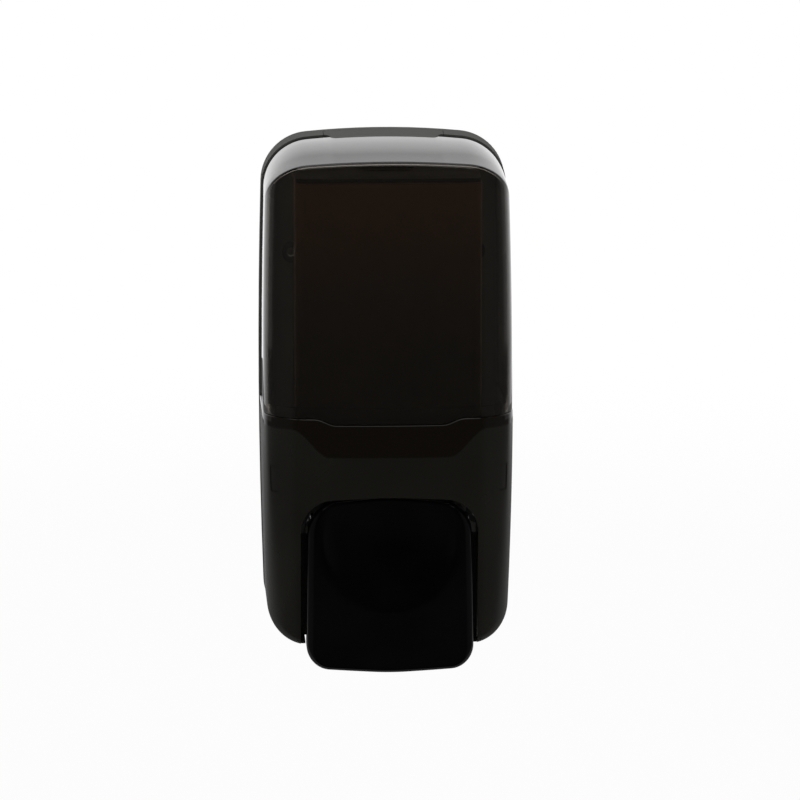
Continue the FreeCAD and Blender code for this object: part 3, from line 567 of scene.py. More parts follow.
def rounded_loop(corners: list[tuple[float, float, float]], arc_steps: int,
                 line_steps: int) -> tuple[np.ndarray, np.ndarray]:
    """Samples a closed polygon whose corners are rounded by tangent arcs.

    At a corner with half angle h, the arc's centre lies radius / sin h along the bisector.

    Args:
        corners: (u, v, radius) clockwise as seen with v up.
        arc_steps: Steps round each arc.
        line_steps: Steps along each straight side.

    Returns:
        Points (n, 2) and outward normals (n, 2).
    """
    flat = np.array(corners, float)
    here, radius = flat[:, :2], flat[:, 2]
    back = np.roll(here, 1, 0) - here
    ahead = np.roll(here, -1, 0) - here
    back /= np.linalg.norm(back, axis=1, keepdims=True)
    ahead /= np.linalg.norm(ahead, axis=1, keepdims=True)
    half = 0.5 * np.arccos(np.clip((back * ahead).sum(1), -1, 1))
    bisector = back + ahead
    bisector /= np.linalg.norm(bisector, axis=1, keepdims=True)
    centre = here + bisector * (radius / np.sin(half))[:, None]
    start, end = np.arctan2(back[:, 1], -back[:, 0]), np.arctan2(-ahead[:, 1], ahead[:, 0])
    turn = (end - start + math.pi) % (2 * math.pi) - math.pi
    angle = start[:, None] + turn[:, None] * np.linspace(0, 1, arc_steps + 1)
    normal = np.stack([np.sin(angle), np.cos(angle)], -1)
    arcs = centre[:, None] + radius[:, None, None] * normal
    share = np.linspace(0, 1, line_steps + 1)[1:-1][None, :, None]
    lines = arcs[:, -1:] * (1 - share) + np.roll(arcs[:, :1], -1, 0) * share
    line_normals = np.broadcast_to(normal[:, -1:], lines.shape)
    points = np.concatenate([arcs, lines], 1).reshape(-1, 2)
    return points, np.concatenate([normal, line_normals], 1).reshape(-1, 2)


# ---- pieces ----
def linked(name: str, data: bpy.types.ID) -> bpy.types.Object:
    """Adds an object to the scene.

    Args:
        name: Its name.
        data: Its mesh, lamp or camera.

    Returns:
        The new object.
    """
    made = bpy.data.objects.new(name, data)
    bpy.context.scene.collection.objects.link(made)
    return made


@dataclass
class Piece:
    """A piece of the dressed part and the body it rides on."""

    name: str
    body: str
    slot: str
    finish: Finish
    crease_degrees: float = 28.0

    def place(self, mesh: bpy.types.Mesh, *nodes: str) -> bpy.types.Object:
        """Puts a mesh in the scene as this piece.

        Args:
            mesh: The finished mesh.
            nodes: The frame's nodes that it stands for.

        Returns:
            The new object.
        """
        mesh.name = self.name
        mesh.materials.clear()
        mesh.materials.append(material_of(self.finish))
        mesh.shade_smooth()
        mesh.set_sharp_from_angle(angle=math.radians(self.crease_degrees))
        piece = linked(self.name, mesh)
        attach(piece, self.body)
        if nodes:
            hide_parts(*nodes)
        log.info("%s: %d faces on %s", self.name, len(mesh.polygons), self.body)
        return piece


def combined(base: bpy.types.Mesh, joined: list[Shell], cut: tuple[Shell, ...] = ()) -> bpy.types.Mesh:
    """Joins closed shells to a base and cuts others from it.

    Args:
        base: The mesh to work on.
        joined: Shells to unite with it.
        cut: Shells to take away after that.

    Returns:
        The finished mesh.
    """
    body = linked("work", base)
    helpers = [body]
    for operation, shells in (("UNION", joined), ("DIFFERENCE", cut)):
        for shell in shells:
            step = body.modifiers.new("step", "BOOLEAN")
            step.operation = operation
            step.object = linked("tool", shell.mesh())
            step.solver = "EXACT"
            helpers.append(step.object)
    graph = bpy.context.evaluated_depsgraph_get()
    finished = bpy.data.meshes.new_from_object(body.evaluated_get(graph))
    for helper in helpers:
        bpy.data.objects.remove(helper)
    return finished


@dataclass(frozen=True)
class BodyForm:
    """The body's outline seen from the front, and its bowed front face."""

    half_width: float = 70.1
    top: float = 145.0
    bottom: float = -135.0
    top_slope: float = 0.075
    top_bow: float = 450.0
    side_bow: float = 3500.0
    bottom_bow: float = 1200.0
    top_corner: float = 28.0
    bottom_corner: float = 22.0
    waist: float = 15.0
    front_depth: float = 96.0
    fullest: float = -10.0
    front_bow: float = 420.0
    front_profile: float = 1150.0
    plan_corner: float = 28.0
    top_swell: float = 2.2      # how far the cover's top is crowned between its two ends in depth
    swell_near: float = 14.6
    swell_far: float = 84.0
    seam_crowd: tuple[float, ...] = (0.0045, 0.0025, 0.001, 0.0)    # how near to the seam the last points lie

    def crown_at(self, depth: np.ndarray) -> np.ndarray:
        """Gives the height of the top's middle: a straight slope with a shallow parabola on it."""
        share = np.clip((depth - self.swell_near) / (self.swell_far - self.swell_near), 0.0, 1.0)
        return self.top - self.top_slope * depth + 4 * self.top_swell * share * (1 - share)

    def side_at(self, z: np.ndarray) -> np.ndarray:
        """Gives the half width at a height, on the side's circle."""
        return self.half_width - self.side_bow + np.sqrt(self.side_bow ** 2 - (z - self.waist) ** 2)

    def corner(self, bow_z: np.ndarray, bow: float, radius: float, upper: bool) -> tuple[np.ndarray, ...]:
        """Finds the centre of the arc that joins the top or the bottom to the side.

        It is where the two bows' circles meet once each is made smaller by the corner's radius.

        Args:
            bow_z: Height of the centre of the top or bottom bow.
            bow: Its radius.
            radius: The corner's radius.
            upper: Whether it is the upper of the two meeting points.

        Returns:
            Width and height of the centre.
        """
        reach_a, reach_b = bow - radius, self.side_bow - radius
        dx, dz = self.half_width - self.side_bow, self.waist - bow_z
        apart = np.hypot(dx, dz)
        along = (reach_a ** 2 - reach_b ** 2 + apart ** 2) / (2 * apart)
        off = np.sqrt(reach_a ** 2 - along ** 2) * (-1.0 if upper else 1.0)
        return (along * dx - off * dz) / apart, bow_z + (along * dz + off * dx) / apart

    def half(self, upper: bool, depth: np.ndarray, inset: float, end_z: float,
             steps: tuple[int, int, int]) -> np.ndarray:
        """Samples the right side's outline from the middle of the top or the bottom to a height.

        It is three arcs, whose angles are measured from +Z towards +X. The last steps are short, to carry a
        rounded edge.

        Args:
            upper: Whether it starts at the top.
            depth: Depth for each column.
            inset: How far inside the outline.
            end_z: Height at which it ends.
            steps: Steps along the top or bottom, round the corner and along the side.

        Returns:
            Array (columns, 4) of x, z, normal x and normal z.
        """
        bow, radius = (self.top_bow, self.top_corner) if upper else (self.bottom_bow, self.bottom_corner)
        bow_z = self.crown_at(depth) - bow if upper else np.full(depth.shape, self.bottom + bow)
        corner_x, corner_z = self.corner(bow_z, bow, radius, upper)
        side_x = self.half_width - self.side_bow
        first = np.arctan2(corner_x, corner_z - bow_z)
        second = np.arctan2(corner_x - side_x, corner_z - self.waist)
        last = math.acos((end_z - self.waist) / (self.side_bow - inset))
        crowd = np.concatenate([np.linspace(0, 1, steps[2] - 2)[:-1], 1 - np.array(self.seam_crowd)])
        arcs = ((0.0, bow_z, bow, 0.0 if upper else math.pi, first, np.arange(steps[0]) / steps[0]),
                (corner_x, corner_z, radius, first, second, np.arange(steps[1]) / steps[1]),
                (side_x, self.waist, self.side_bow, second, last, crowd))
        made, done = [], 0
        for *values, share in arcs:
            here = slice(done, done + len(share))
            x, z, reach, start, end = (np.broadcast_to(value, depth.shape)[here] for value in values)
            angle = start + (end - start) * share
            normal_x, normal_z = np.sin(angle), np.cos(angle)
            made.append(np.stack([x + (reach - inset) * normal_x, z + (reach - inset) * normal_z, normal_x,
                                  normal_z], -1))
            done = here.stop
        return np.concatenate(made)

    def front(self, x: np.ndarray, z: np.ndarray, inset: float) -> np.ndarray:
        """Works out the front face: a bow across the width with tangent arcs for the vertical corners.

        Args:
            x: Width.
            z: Height.
            inset: How far under the face.

        Returns:
            The depth.
        """
        centre = (self.front_depth - self.front_profile - self.front_bow
                  + np.sqrt(self.front_profile ** 2 - (z - self.fullest) ** 2))
        corner_x = self.side_at(z) - self.plan_corner
        between_centres = self.front_bow - self.plan_corner
        corner_d = centre + np.sqrt(between_centres ** 2 - corner_x ** 2)
        meet = (self.front_bow - inset) * corner_x / between_centres
        flat = centre + np.sqrt((self.front_bow - inset) ** 2 - np.minimum(np.abs(x), meet) ** 2)
        reach = self.plan_corner - inset
        turned = corner_d + np.sqrt(np.maximum(reach ** 2 - np.maximum(np.abs(x) - corner_x, 0.0) ** 2, 0.0))
        return np.where(np.abs(x) <= meet, flat, turned)

    def on_front(self, x: np.ndarray, z: np.ndarray, inset: float, under: object = 0.0) -> np.ndarray:
        """Gives points (n, 3) a stated distance under the front face."""
        return np.column_stack([x, self.front(x, z, inset) - under, z])


BODY = BodyForm()


@dataclass(frozen=True)
class Seam:
    """The line between window and lower shell: level, with a shallow dip in the middle."""

    height: float = -4.5
    gap: float = 0.15           # how far the window's edge stays above the line
    dip: float = 3.5
    dip_half: float = 29.5
    dip_shoulder: float = 41.5

    def drop(self, x: np.ndarray) -> np.ndarray:
        """Gives how far the line lies under its level ends: a smooth step from shoulder to middle."""
        share = np.clip((self.dip_shoulder - np.abs(x)) / (self.dip_shoulder - self.dip_half), 0.0, 1.0)
        return self.dip * share ** 2 * (3 - 2 * share)


SEAM = Seam()


@dataclass
class CoverHalf(Piece):
    """One of the two shells of the cover: a wall along the outline that rounds into the front face.

    Columns run along the outline. Rows run forward along the wall, round the edge and in over the front to
    a line up the middle.
    """

    inset: float = 0.8
    wall: float = 2.5
    back: float = 14.6
    edge_round: float = 4.0
    seam_z: float = SEAM.height
    pole_z: float = 88.0
    upper: bool = True
    steps: tuple[int, int, int] = (40, 18, 26)
    wall_steps: int = 5
    turn_degrees: tuple[float, ...] = tuple(np.linspace(0, 82, 24))
    field_steps: int = 22
    edge_rounds: int = 6        # rounds that settle where the wall and the front meet
    warp_reach: float = 34.0
    seam_round: float = 0.6
    outward_x: float = 20.0     # half width from which the sideways part of a normal tells its outer side

    def columns(self, depth: np.ndarray, inset: float) -> np.ndarray:
        """Gives the outline from one end of the seam round to the other, as x, z and normals."""
        right = BODY.half(self.upper, depth[len(depth) // 2:], inset, self.seam_z, self.steps)
        return np.concatenate([right[:0:-1] * np.array([-1.0, 1.0, -1.0, 1.0]), right])

    def back_edge(self, x: np.ndarray) -> np.ndarray:
        """Gives the depth of the wall's back edge."""
        return np.full_like(x, self.back)

    def sheet(self, inset: float, edge_round: float) -> np.ndarray:
        """Works out one face of the shell.

        The edge lies where wall and front meet, found by putting the front's depth back into the outline a
        few times. From there rows step inwards by s = R (1 - cos t), and the edge's rounding is a quarter
        circle in s. Beyond that they run straight to the middle line.

        Args:
            inset: How far the face lies inside the body's outline.
            edge_round: Radius between the wall and the front at top or bottom.

        Returns:
            Grid (rows, columns, 3).
        """
        depth = np.full(2 * sum(self.steps) + 1, BODY.front_depth)
        for _ in range(self.edge_rounds):
            edge = self.columns(depth, inset)
            depth = BODY.front(edge[:, 0], edge[:, 1], inset)
        soft = edge_round * edge[:, 3] ** 2
        back = self.back_edge(edge[:, 0])
        rows = []
        for share in np.linspace(0, 1, self.wall_steps + 1)[:-1]:
            here = back + (depth - soft - back) * share
            at = self.columns(here, inset)
            rows.append(np.column_stack([at[:, 0], here, at[:, 1]]))
        reach = BODY.plan_corner - inset
        for angle in np.radians(self.turn_degrees):
            s = reach * (1 - math.cos(angle))
            x, z = edge[:, 0] - s * edge[:, 2], edge[:, 1] - s * edge[:, 3]
            rest = max(0.0, 1 - s / edge_round)
            rows.append(BODY.on_front(x, z, inset, soft * (1 - math.sqrt(1 - rest ** 2))))
        goal = (np.minimum if self.upper else np.maximum)(z, self.pole_z)
        for share in np.linspace(0, 1, self.field_steps + 1)[1:]:
            rows.append(BODY.on_front(x * (1 - share), z + (goal - z) * share, inset))
        grid = np.stack(rows)
        grid[:, [0, -1], 2] = self.seam_z
        away = np.abs(grid[..., 2] - self.seam_z)
        grid[..., 2] -= SEAM.drop(grid[..., 0]) * np.clip(1 - away / self.warp_reach, 0, 1) ** 2
        front = grid[self.wall_steps + len(self.turn_degrees):]
        front[..., 1] = BODY.front(front[..., 0], front[..., 2], inset)
        if inset == self.inset:
            self.soften(grid, away)
        return grid

    def soften(self, grid: np.ndarray, away: np.ndarray) -> None:
        """Rounds the sheet's edge along the seam, by moving its last columns in along the surface normal.

        Args:
            grid: The sheet, changed in place.
            away: Each point's distance from the seam; within seam_round the offset follows a quarter circle.
        """
        normal = np.cross(np.gradient(grid, axis=0), np.gradient(grid, axis=1))
        normal /= np.maximum(np.linalg.norm(normal, axis=2, keepdims=True), 1e-9)
        outward = np.sign(normal[..., :1] * grid[..., :1] + normal[..., 1:2] * self.outward_x)
        rest = np.clip(1 - away / self.seam_round, 0.0, 1.0)
        grid -= (self.seam_round * (1 - np.sqrt(1 - rest ** 2)))[..., None] * normal * outward

    def shell(self) -> bpy.types.Mesh:
        """Makes the closed shell from its outer and inner sheets."""
        inner = self.sheet(self.inset + self.wall, self.edge_round - self.wall)
        return double_wall(self.sheet(self.inset, self.edge_round), inner, True)


@dataclass
class CoverWindow(CoverHalf):
    """The polished upper shell, with the lap that enters the lower shell and the rib that the latch holds."""

    tab_half: float = 34.1
    tab_flat: float = 26.6
    tab_reach: float = 27.1
    tab_bend: float = 0.55      # how far the curve's handles reach along the width between its ends
    tab_steps: int = 60
    lap_inset: float = 3.1
    lap_wall: float = 1.3
    lap_low: float = -15.0
    lap_top: float = 1.5
    lap_steps: int = 14
    lap_rows: int = 6
    rib_half: float = 12.0
    rib_depths: tuple[float, float] = (27.1, 29.6)
    rib_heights: tuple[float, float] = (137.0, 140.6)

    def back_edge(self, x: np.ndarray) -> np.ndarray:
        """Steps the back edge forward round the latch tab along a cubic curve with flat ends.

        Args:
            x: Width of each column.

        Returns:
            Depth of each column's back edge.
        """
        t = np.linspace(0, 1, self.tab_steps)
        bend = (self.tab_half - self.tab_flat) * self.tab_bend
        along = ((1 - t) ** 3 * self.tab_half + 3 * (1 - t) ** 2 * t * (self.tab_half - bend)
                 + 3 * (1 - t) * t ** 2 * (self.tab_flat + bend) + t ** 3 * self.tab_flat)
        depth = self.back + (self.tab_reach - self.back) * t ** 2 * (3 - 2 * t)
        top = np.interp(np.abs(x), along[::-1], depth[::-1])
        return np.where(np.abs(x) < BODY.half_width - BODY.top_corner, top, self.back)

    def lap(self) -> Shell:
        """Makes the strip of wall inside the lower shell, which follows the body from side to side.

        Returns:
            The closed shell.
        """
        loops = []
        for z in np.linspace(self.lap_low, self.lap_top, self.lap_rows):
            half = BODY.side_at(z)
            faces = []
            for inset in (self.lap_inset, self.lap_inset + self.lap_wall):
                turn = np.radians(np.linspace(0, 90, self.lap_steps))[1:-1]
                x = np.concatenate([np.full(2, half - inset), half - BODY.plan_corner
                                    + (BODY.plan_corner - inset) * np.cos(turn)])
                x = np.concatenate([x, np.linspace(x[-1], 0.0, self.lap_steps)[1:]])
                right = BODY.on_front(x, np.full_like(x, z), inset)
                right[0, 1] = self.back
                faces.append(np.concatenate([right, right[-2::-1] * np.array([-1.0, 1.0, 1.0])]))
            loops.append(np.concatenate([faces[0], faces[1][::-1]]))
        stack = np.stack(loops)
        made = Shell()
        made.grid(closed_section(stack))
        count = stack.shape[1] // 2
        for row in (stack[0], stack[-1]):
            made.strip(row[:count], row[:count - 1:-1])
        return made

    def rib(self) -> Shell:
        """Makes the rib on the inside of the top, which the latch's hook holds."""
        (low, high), half = self.rib_heights, self.rib_half
        return prism(np.array([[-half, low], [-half, high], [half, high], [half, low]]), self.rib_depths, 1)

    def build(self) -> bpy.types.Object:
        """Builds and dresses the window."""
        return self.place(combined(self.shell(), [self.lap(), self.rib()]), "cover_window")


@dataclass
class SnapLegs(Piece):
    """The window's two snap legs inside the lower shell, each with a hook that fills the shell's opening."""

    leg_insets: tuple[float, float] = (3.1, 4.9)
    leg_depths: tuple[float, float] = (75.0, 88.5)
    leg_heights: tuple[float, float] = (-51.0, -14.0)
    hook_insets: tuple[float, float] = (0.7, 4.0)
    hook_depths: tuple[float, float] = (79.3, 84.2)
    hook_heights: tuple[float, float] = (-46.7, -32.8)
    steps: int = 12
    rows: int = 10
    turn_limit: float = 0.999   # keeps the faces' slope finite at the corner's end

    def corner_block(self, side: float, depths: tuple[float, float], heights: tuple[float, float],
                     insets: tuple[float, float]) -> Shell:
        """Makes a block that follows the body's vertical corner between two insets.

        Args:
            side: 1 for the right corner and -1 for the left.
            depths: Where it starts and ends in depth.
            heights: Lowest and highest height.
            insets: How far its outer and inner faces lie inside the body.

        Returns:
            The closed shell.
        """
        depth = np.linspace(*depths, self.steps)
        rows = []
        for z in np.linspace(*heights, self.rows):
            half = BODY.side_at(z)
            corner_d = BODY.front(half, z, 0.0)
            faces = []
            for inset in insets:
                reach = BODY.plan_corner - inset
                turn = np.clip((depth - corner_d) / reach, 0.0, self.turn_limit)
                x = side * (half - BODY.plan_corner + reach * np.sqrt(1 - turn ** 2))
                faces.append(np.column_stack([x, depth, np.full_like(x, z)]))
            rows.append(np.concatenate([faces[0], faces[1][::-1]])[::int(side)])
        return capped(np.stack(rows))

    def build(self) -> bpy.types.Object:
        """Builds and dresses the legs.

        Returns:
            The piece.
        """
        first, *rest = [self.corner_block(side, *sizes) for side in SIDES for sizes in (
            (self.leg_depths, self.leg_heights, self.leg_insets),
            (self.hook_depths, self.hook_heights, self.hook_insets))]
        return self.place(combined(first.mesh(), rest), "cover_window")


@dataclass
class CoverBase(CoverHalf):
    """The satin lower shell, open for the lever, with its return walls, hinge ears and snap openings."""

    notch_half: float = 49.2
    notch_top: float = -48.3
    notch_low: float = -155.0
    notch_bow: float = 2.8
    notch_bend: float = 215.0
    notch_corner: float = 19.0
    notch_foot: float = 1.0
    notch_depths: tuple[float, float] = (-1.0, 160.0)
    return_wall: float = 2.2
    return_near: float = 65.4
    return_top: float = -66.0
    return_low: float = -131.6
    return_under: float = 0.4   # how far under the front face the return walls end
    return_rows: int = 24
    join: float = 1.0           # how far joined and cutting blocks run into or past the wall
    lip_reach: float = 5.0      # the return wall's back edge turns in by this towards the lever
    lip_thick: float = 1.6
    lip_top: float = -74.0
    foot_reach: float = 2.65
    foot_far: float = 83.0
    foot_low: float = -133.0
    foot_thick: float = 1.6
    hinge: tuple[float, float] = (20.0, -120.0)     # depth and height of the axis
    knuckle: float = 5.0
    knuckle_points: int = 14
    ear_inner: float = 57.7
    ear_width: float = 3.4
    ear_far: float = 42.0
    ear_low: float = -128.6
    slot_inner: float = 51.7
    slot_far: float = 28.0
    slot_heights: tuple[float, float] = (-145.0, -122.0)
    pin_bore: float = 2.06
    bore_step: int = 15         # degrees between its points
    snap_widths: tuple[float, float] = (40.0, 90.0)
    snap_depths: tuple[float, float] = (79.0, 84.5)
    snap_heights: tuple[float, float] = (-47.0, -32.5)

    def notch(self) -> Shell:
        """Makes the block that opens the shell for the lever, with round shoulders and a bowed top.

        Returns:
            The closed shell.
        """
        half, shoulder = self.notch_half, self.notch_top - self.notch_bow
        loop, _ = rounded_loop([
            (-half, self.notch_low, self.notch_foot), (-half, shoulder, self.notch_corner),
            (0.0, self.notch_top, self.notch_bend), (half, shoulder, self.notch_corner),
            (half, self.notch_low, self.notch_foot)], arc_steps=14, line_steps=2)
        return prism(loop, self.notch_depths, 1)

    def return_side(self, side: float) -> Shell:
        """Makes the wall that turns back beside the lever, with a section that ends just under the front.

        Args:
            side: 1 for the right wall and -1 for the left.

        Returns:
            The closed shell.
        """
        inner, outer = self.notch_half - self.join, self.notch_half + self.return_wall
        x, z = np.broadcast_arrays(np.array([[inner, outer, outer, inner]]),
                                   np.linspace(self.return_low, self.return_top, self.return_rows)[:, None])
        depth = BODY.front(x, z, self.inset) - self.return_under
        depth[:, :2] = self.return_near
        return capped(np.stack([side * x, depth, z], -1))

    def screens(self, side: float) -> list[Shell]:
        """Makes what screens the gap beside the lever: a lip on a return wall and a web at its foot.

        Args:
            side: 1 for the right wall and -1 for the left.

        Returns:
            The two closed shells.
        """
        near = self.return_near
        lip = (self.lip_reach, (near, near + self.lip_thick), (self.return_low, self.lip_top))
        foot = (self.foot_reach, (near, self.foot_far), (self.foot_low, self.foot_low + self.foot_thick))
        return [block(span(side, self.notch_half - reach, self.notch_half + self.join), depths, heights)
                for reach, depths, heights in (lip, foot)]

    def ear(self, side: float) -> Shell:
        """Makes a hinge ear: a round knuckle on the hinge's axis with a web forward along the bottom.

        Args:
            side: 1 for the right ear and -1 for the left.

        Returns:
            The closed shell.
        """
        depth, z = self.hinge
        loop = np.concatenate([circle(self.hinge, self.knuckle, np.linspace(-90, -270, self.knuckle_points)),
                               [[self.ear_far, z + self.knuckle], [self.ear_far, self.ear_low],
                                [depth, self.ear_low]]])
        return prism(loop, span(side, self.ear_inner, self.ear_inner + self.ear_width), 0)

    def openings(self, side: float) -> list[Shell]:
        """Makes the hinge slot, snap opening and pin bore of one side.

        Args:
            side: 1 for the right side and -1 for the left.

        Returns:
            The blocks to cut away.
        """
        ear_ends = span(side, self.ear_inner - self.join, self.ear_inner + self.ear_width + self.join)
        return [block(span(side, self.slot_inner, self.ear_inner), (0.0, self.slot_far), self.slot_heights),
                block(span(side, *self.snap_widths), self.snap_depths, self.snap_heights),
                prism(circle(self.hinge, self.pin_bore, np.arange(0, 360, self.bore_step)), ear_ends, 0)]

    def build(self) -> bpy.types.Object:
        """Builds and dresses the lower shell.

        Returns:
            The piece.
        """
        joined = [made for side in SIDES for made in (self.return_side(side), self.ear(side))]
        whole = combined(self.shell(), joined, (self.notch(), *self.openings(1.0), *self.openings(-1.0)))
        screens = self.screens(1.0) + self.screens(-1.0)
        return self.place(combined(whole, screens), "cover_base")


@dataclass
class Lever(Piece):
    """The palm lever: a bowed shell with soft edges and a round dish scooped out of its upper part."""

    half_top: float = 45.5
    half_bottom: float = 46.5
    top: float = -49.7
    bottom: float = -146.0
    top_bow: float = 2.8
    bottom_bow: float = 2.2
    top_bend: float = 150.0
    bottom_bend: float = 200.0
    top_corner: float = 18.0
    bottom_corner: float = 13.0
    lip_depth: float = 104.5
    lip_z: float = -128.0
    profile: float = 300.0
    crown: float = 300.0
    side_round: float = 5.0
    end_round: float = 2.6
    least_round: float = 0.6
    wall: float = 3.0
    back_heights: tuple[float, ...] = (-200.0, -102.0, -74.0)
    back_depths: tuple[float, ...] = (90.0, 87.0, 76.0)
    middle_heights: tuple[float, float] = (-112.0, -84.0)
    dish_ball: float = 93.5
    dish_centre_depth: float = 179.84
    dish_centre_z: float = -54.95
    dish_soft: float = 1.6
    beyond: float = 999.0       # a depth past everything, where the dish doesn't reach
    ear_widths: tuple[float, float] = (38.2, 43.7)
    ear_far: float = 91.0
    pivot: tuple[float, float] = (83.0, -64.0)      # depth and height of the axis
    knuckle: float = 5.0
    knuckle_points: int = 14
    boss_x: float = 24.0
    boss_z: float = -101.6
    boss_r: float = 4.5
    boss_step: int = 12         # degrees between its points
    boss_depths: tuple[float, float] = (84.0, 96.5)
    wall_steps: int = 4
    turn_steps: int = 10
    field_steps: int = 45

    def outline(self) -> tuple[np.ndarray, np.ndarray]:
        """Makes the lever's outline from the front: six corners, of which the two middle ones bend the ends.

        Returns:
            Points (n, 2) and outward normals (n, 2).
        """
        low, high = self.bottom + self.bottom_bow, self.top - self.top_bow
        return rounded_loop([
            (self.half_bottom, low, self.bottom_corner), (0.0, self.bottom, self.bottom_bend),
            (-self.half_bottom, low, self.bottom_corner), (-self.half_top, high, self.top_corner),
            (0.0, self.top, self.top_bend), (self.half_top, high, self.top_corner)],
            arc_steps=18, line_steps=16)

    def face(self, x: np.ndarray, z: np.ndarray, inset: float) -> np.ndarray:
        """Works out the face: an arc from top to bottom less an arc across, and the dish where that is lower.

        The two meet by a rounded minimum, whose width is dish_soft.

        Args:
            x: Width.
            z: Height.
            inset: How far under the outer face.

        Returns:
            The depth.
        """
        arc = self.profile - inset
        body = (self.lip_depth - self.profile + np.sqrt(arc ** 2 - (z - self.lip_z) ** 2)
                - x ** 2 / (2 * self.crown))
        under = (self.dish_ball + inset) ** 2 - x ** 2 - (z - self.dish_centre_z) ** 2
        dish = np.where(under > 0, self.dish_centre_depth - np.sqrt(np.maximum(under, 0.0)), self.beyond)
        share = np.clip(0.5 + 0.5 * (dish - body) / self.dish_soft, 0.0, 1.0)
        return dish + (body - dish) * share - self.dish_soft * share * (1 - share)

    def on_face(self, at: np.ndarray, inset: float, under: object = 0.0) -> np.ndarray:
        """Gives points (n, 3) a stated distance under the face, from their widths and heights."""
        return np.column_stack([at[:, 0], self.face(at[:, 0], at[:, 1], inset) - under, at[:, 1]])

    def sheet(self, inset: float) -> np.ndarray:
        """Works out the outer or the inner face.

        Rows run forward along the wall, round the edge by a quarter circle, and in over the face to a short
        line in the middle. The back edge is flat at the top, then slants forward to the lip.

        Args:
            inset: How far inside the outer face.

        Returns:
            Grid (rows, columns, 3).
        """
        edge, normal = self.outline()
        edge = edge - inset * normal
        soft = np.maximum(self.end_round + (self.side_round - self.end_round) * normal[:, 0] ** 2 - inset,
                          self.least_round)
        depth = self.face(edge[:, 0], edge[:, 1], inset)
        back = np.interp(edge[:, 1], self.back_heights, self.back_depths)
        rows = [np.column_stack([edge[:, 0], back + (depth - soft - back) * share, edge[:, 1]])
                for share in np.linspace(0, 1, self.wall_steps + 1)[:-1]]
        for angle in np.radians(np.linspace(0, 90, self.turn_steps + 1)):
            at = edge - (soft * (1 - math.cos(angle)))[:, None] * normal
            rows.append(self.on_face(at, inset, soft * (1 - math.sin(angle))))
        middle = np.column_stack([np.zeros(len(at)), np.clip(at[:, 1], *self.middle_heights)])
        for share in np.linspace(0, 1, self.field_steps + 1)[1:]:
            rows.append(self.on_face(at * (1 - share) + middle * share, inset))
        return closed_section(np.stack(rows))

    def build(self) -> bpy.types.Object:
        """Builds and dresses the lever, with the two ears of its pivot and the two bosses of its fork.

        Returns:
            The piece.
        """
        z = self.pivot[1]
        ear = np.concatenate([circle(self.pivot, self.knuckle, np.linspace(90, 270, self.knuckle_points)),
                              [[self.ear_far, z - self.knuckle], [self.ear_far, z + self.knuckle]]])
        joined = []
        for side in SIDES:
            joined.append(prism(ear, span(side, *self.ear_widths), 0))
            boss = circle((side * self.boss_x, self.boss_z), self.boss_r, np.arange(0, 360, self.boss_step))
            joined.append(prism(boss, self.boss_depths, 1))
        whole = double_wall(self.sheet(0.0), self.sheet(self.wall), False)
        return self.place(combined(whole, joined), "push_lever")


# ---- the frame's own nodes ----
NODES_BY_FINISH: dict[Finish, tuple[str, ...]] = {
    Finish.TEXTURED_ABS: ("back_housing", "latch_tab"),
    Finish.BLOWN_TANK: ("reservoir",),
    Finish.BLACK_PP: ("reservoir_lid",),
    Finish.RUBBER: ("lid_gasket", "neck_gasket", "piston_seal"),
    Finish.GLASS_NYLON: ("chassis", "lever_fork"),
    Finish.ZINC_STEEL: ("chassis_screws", "fork_screws"),
    Finish.WHITE_PP: ("collar_nut", "pump_cap", "nozzle_tip"),
    Finish.NATURAL_PP: ("pump_body", "inlet_cage", "piston_stem"),
    Finish.GROUND_STEEL: ("inlet_ball", "lever_pins", "hinge_pins"),
    Finish.SPRING_STEEL: ("pump_spring", "latch_spring"),
    Finish.SILICONE: ("outlet_valve",),
}


def dress_nodes(nodes: dict[str, bpy.types.Object]) -> None:
    """Gives the frame's own nodes their finishes.

    Args:
        nodes: The frame's nodes by name.
    """
    for finish, names in NODES_BY_FINISH.items():
        for name in names:
            for slot in nodes[name].material_slots:
                slot.material = material_of(finish)
            log.info("%s: %s", name, finish.name.lower())


# ---- studio ----
def flat_sheet(name: str, points: list[tuple[float, ...]], material: bpy.types.Material) -> bpy.types.Object:
    """Adds a flat face to the scene.

    Args:
        name: Name of the object and its mesh.
        points: Its outline, in metres.
        material: Its material.

    Returns:
        The new object.
    """
    mesh = bpy.data.meshes.new(name)
    mesh.from_pydata(points, [], [list(range(len(points)))])
    mesh.materials.append(material)
    return linked(name, mesh)


@dataclass(frozen=True)
class Softbox:
    """A rectangular soft lamp that faces the object."""

    name: str
    place: tuple[float, float, float]
    size: tuple[float, float]
    watts: float

    def build(self, target: Vector) -> None:
        """Adds the lamp.

        Args:
            target: The point that it is turned towards.
        """
        lamp = bpy.data.lights.new(self.name, "AREA")
        lamp.shape = "RECTANGLE"
        lamp.size, lamp.size_y = self.size
        lamp.energy = self.watts
        holder = linked(self.name, lamp)
        holder.location = self.place
        holder.rotation_euler = (target - Vector(self.place)).to_track_quat("-Z", "Y").to_euler()


LAMPS = (Softbox("top", (0.0, -0.1, 1.4), (1.8, 1.5), 5.0),
         Softbox("left", (-1.3, 1.1, 0.5), (1.6, 1.6), 0.8),
         Softbox("right", (1.3, 1.1, 0.5), (1.6, 1.6), 1.0))


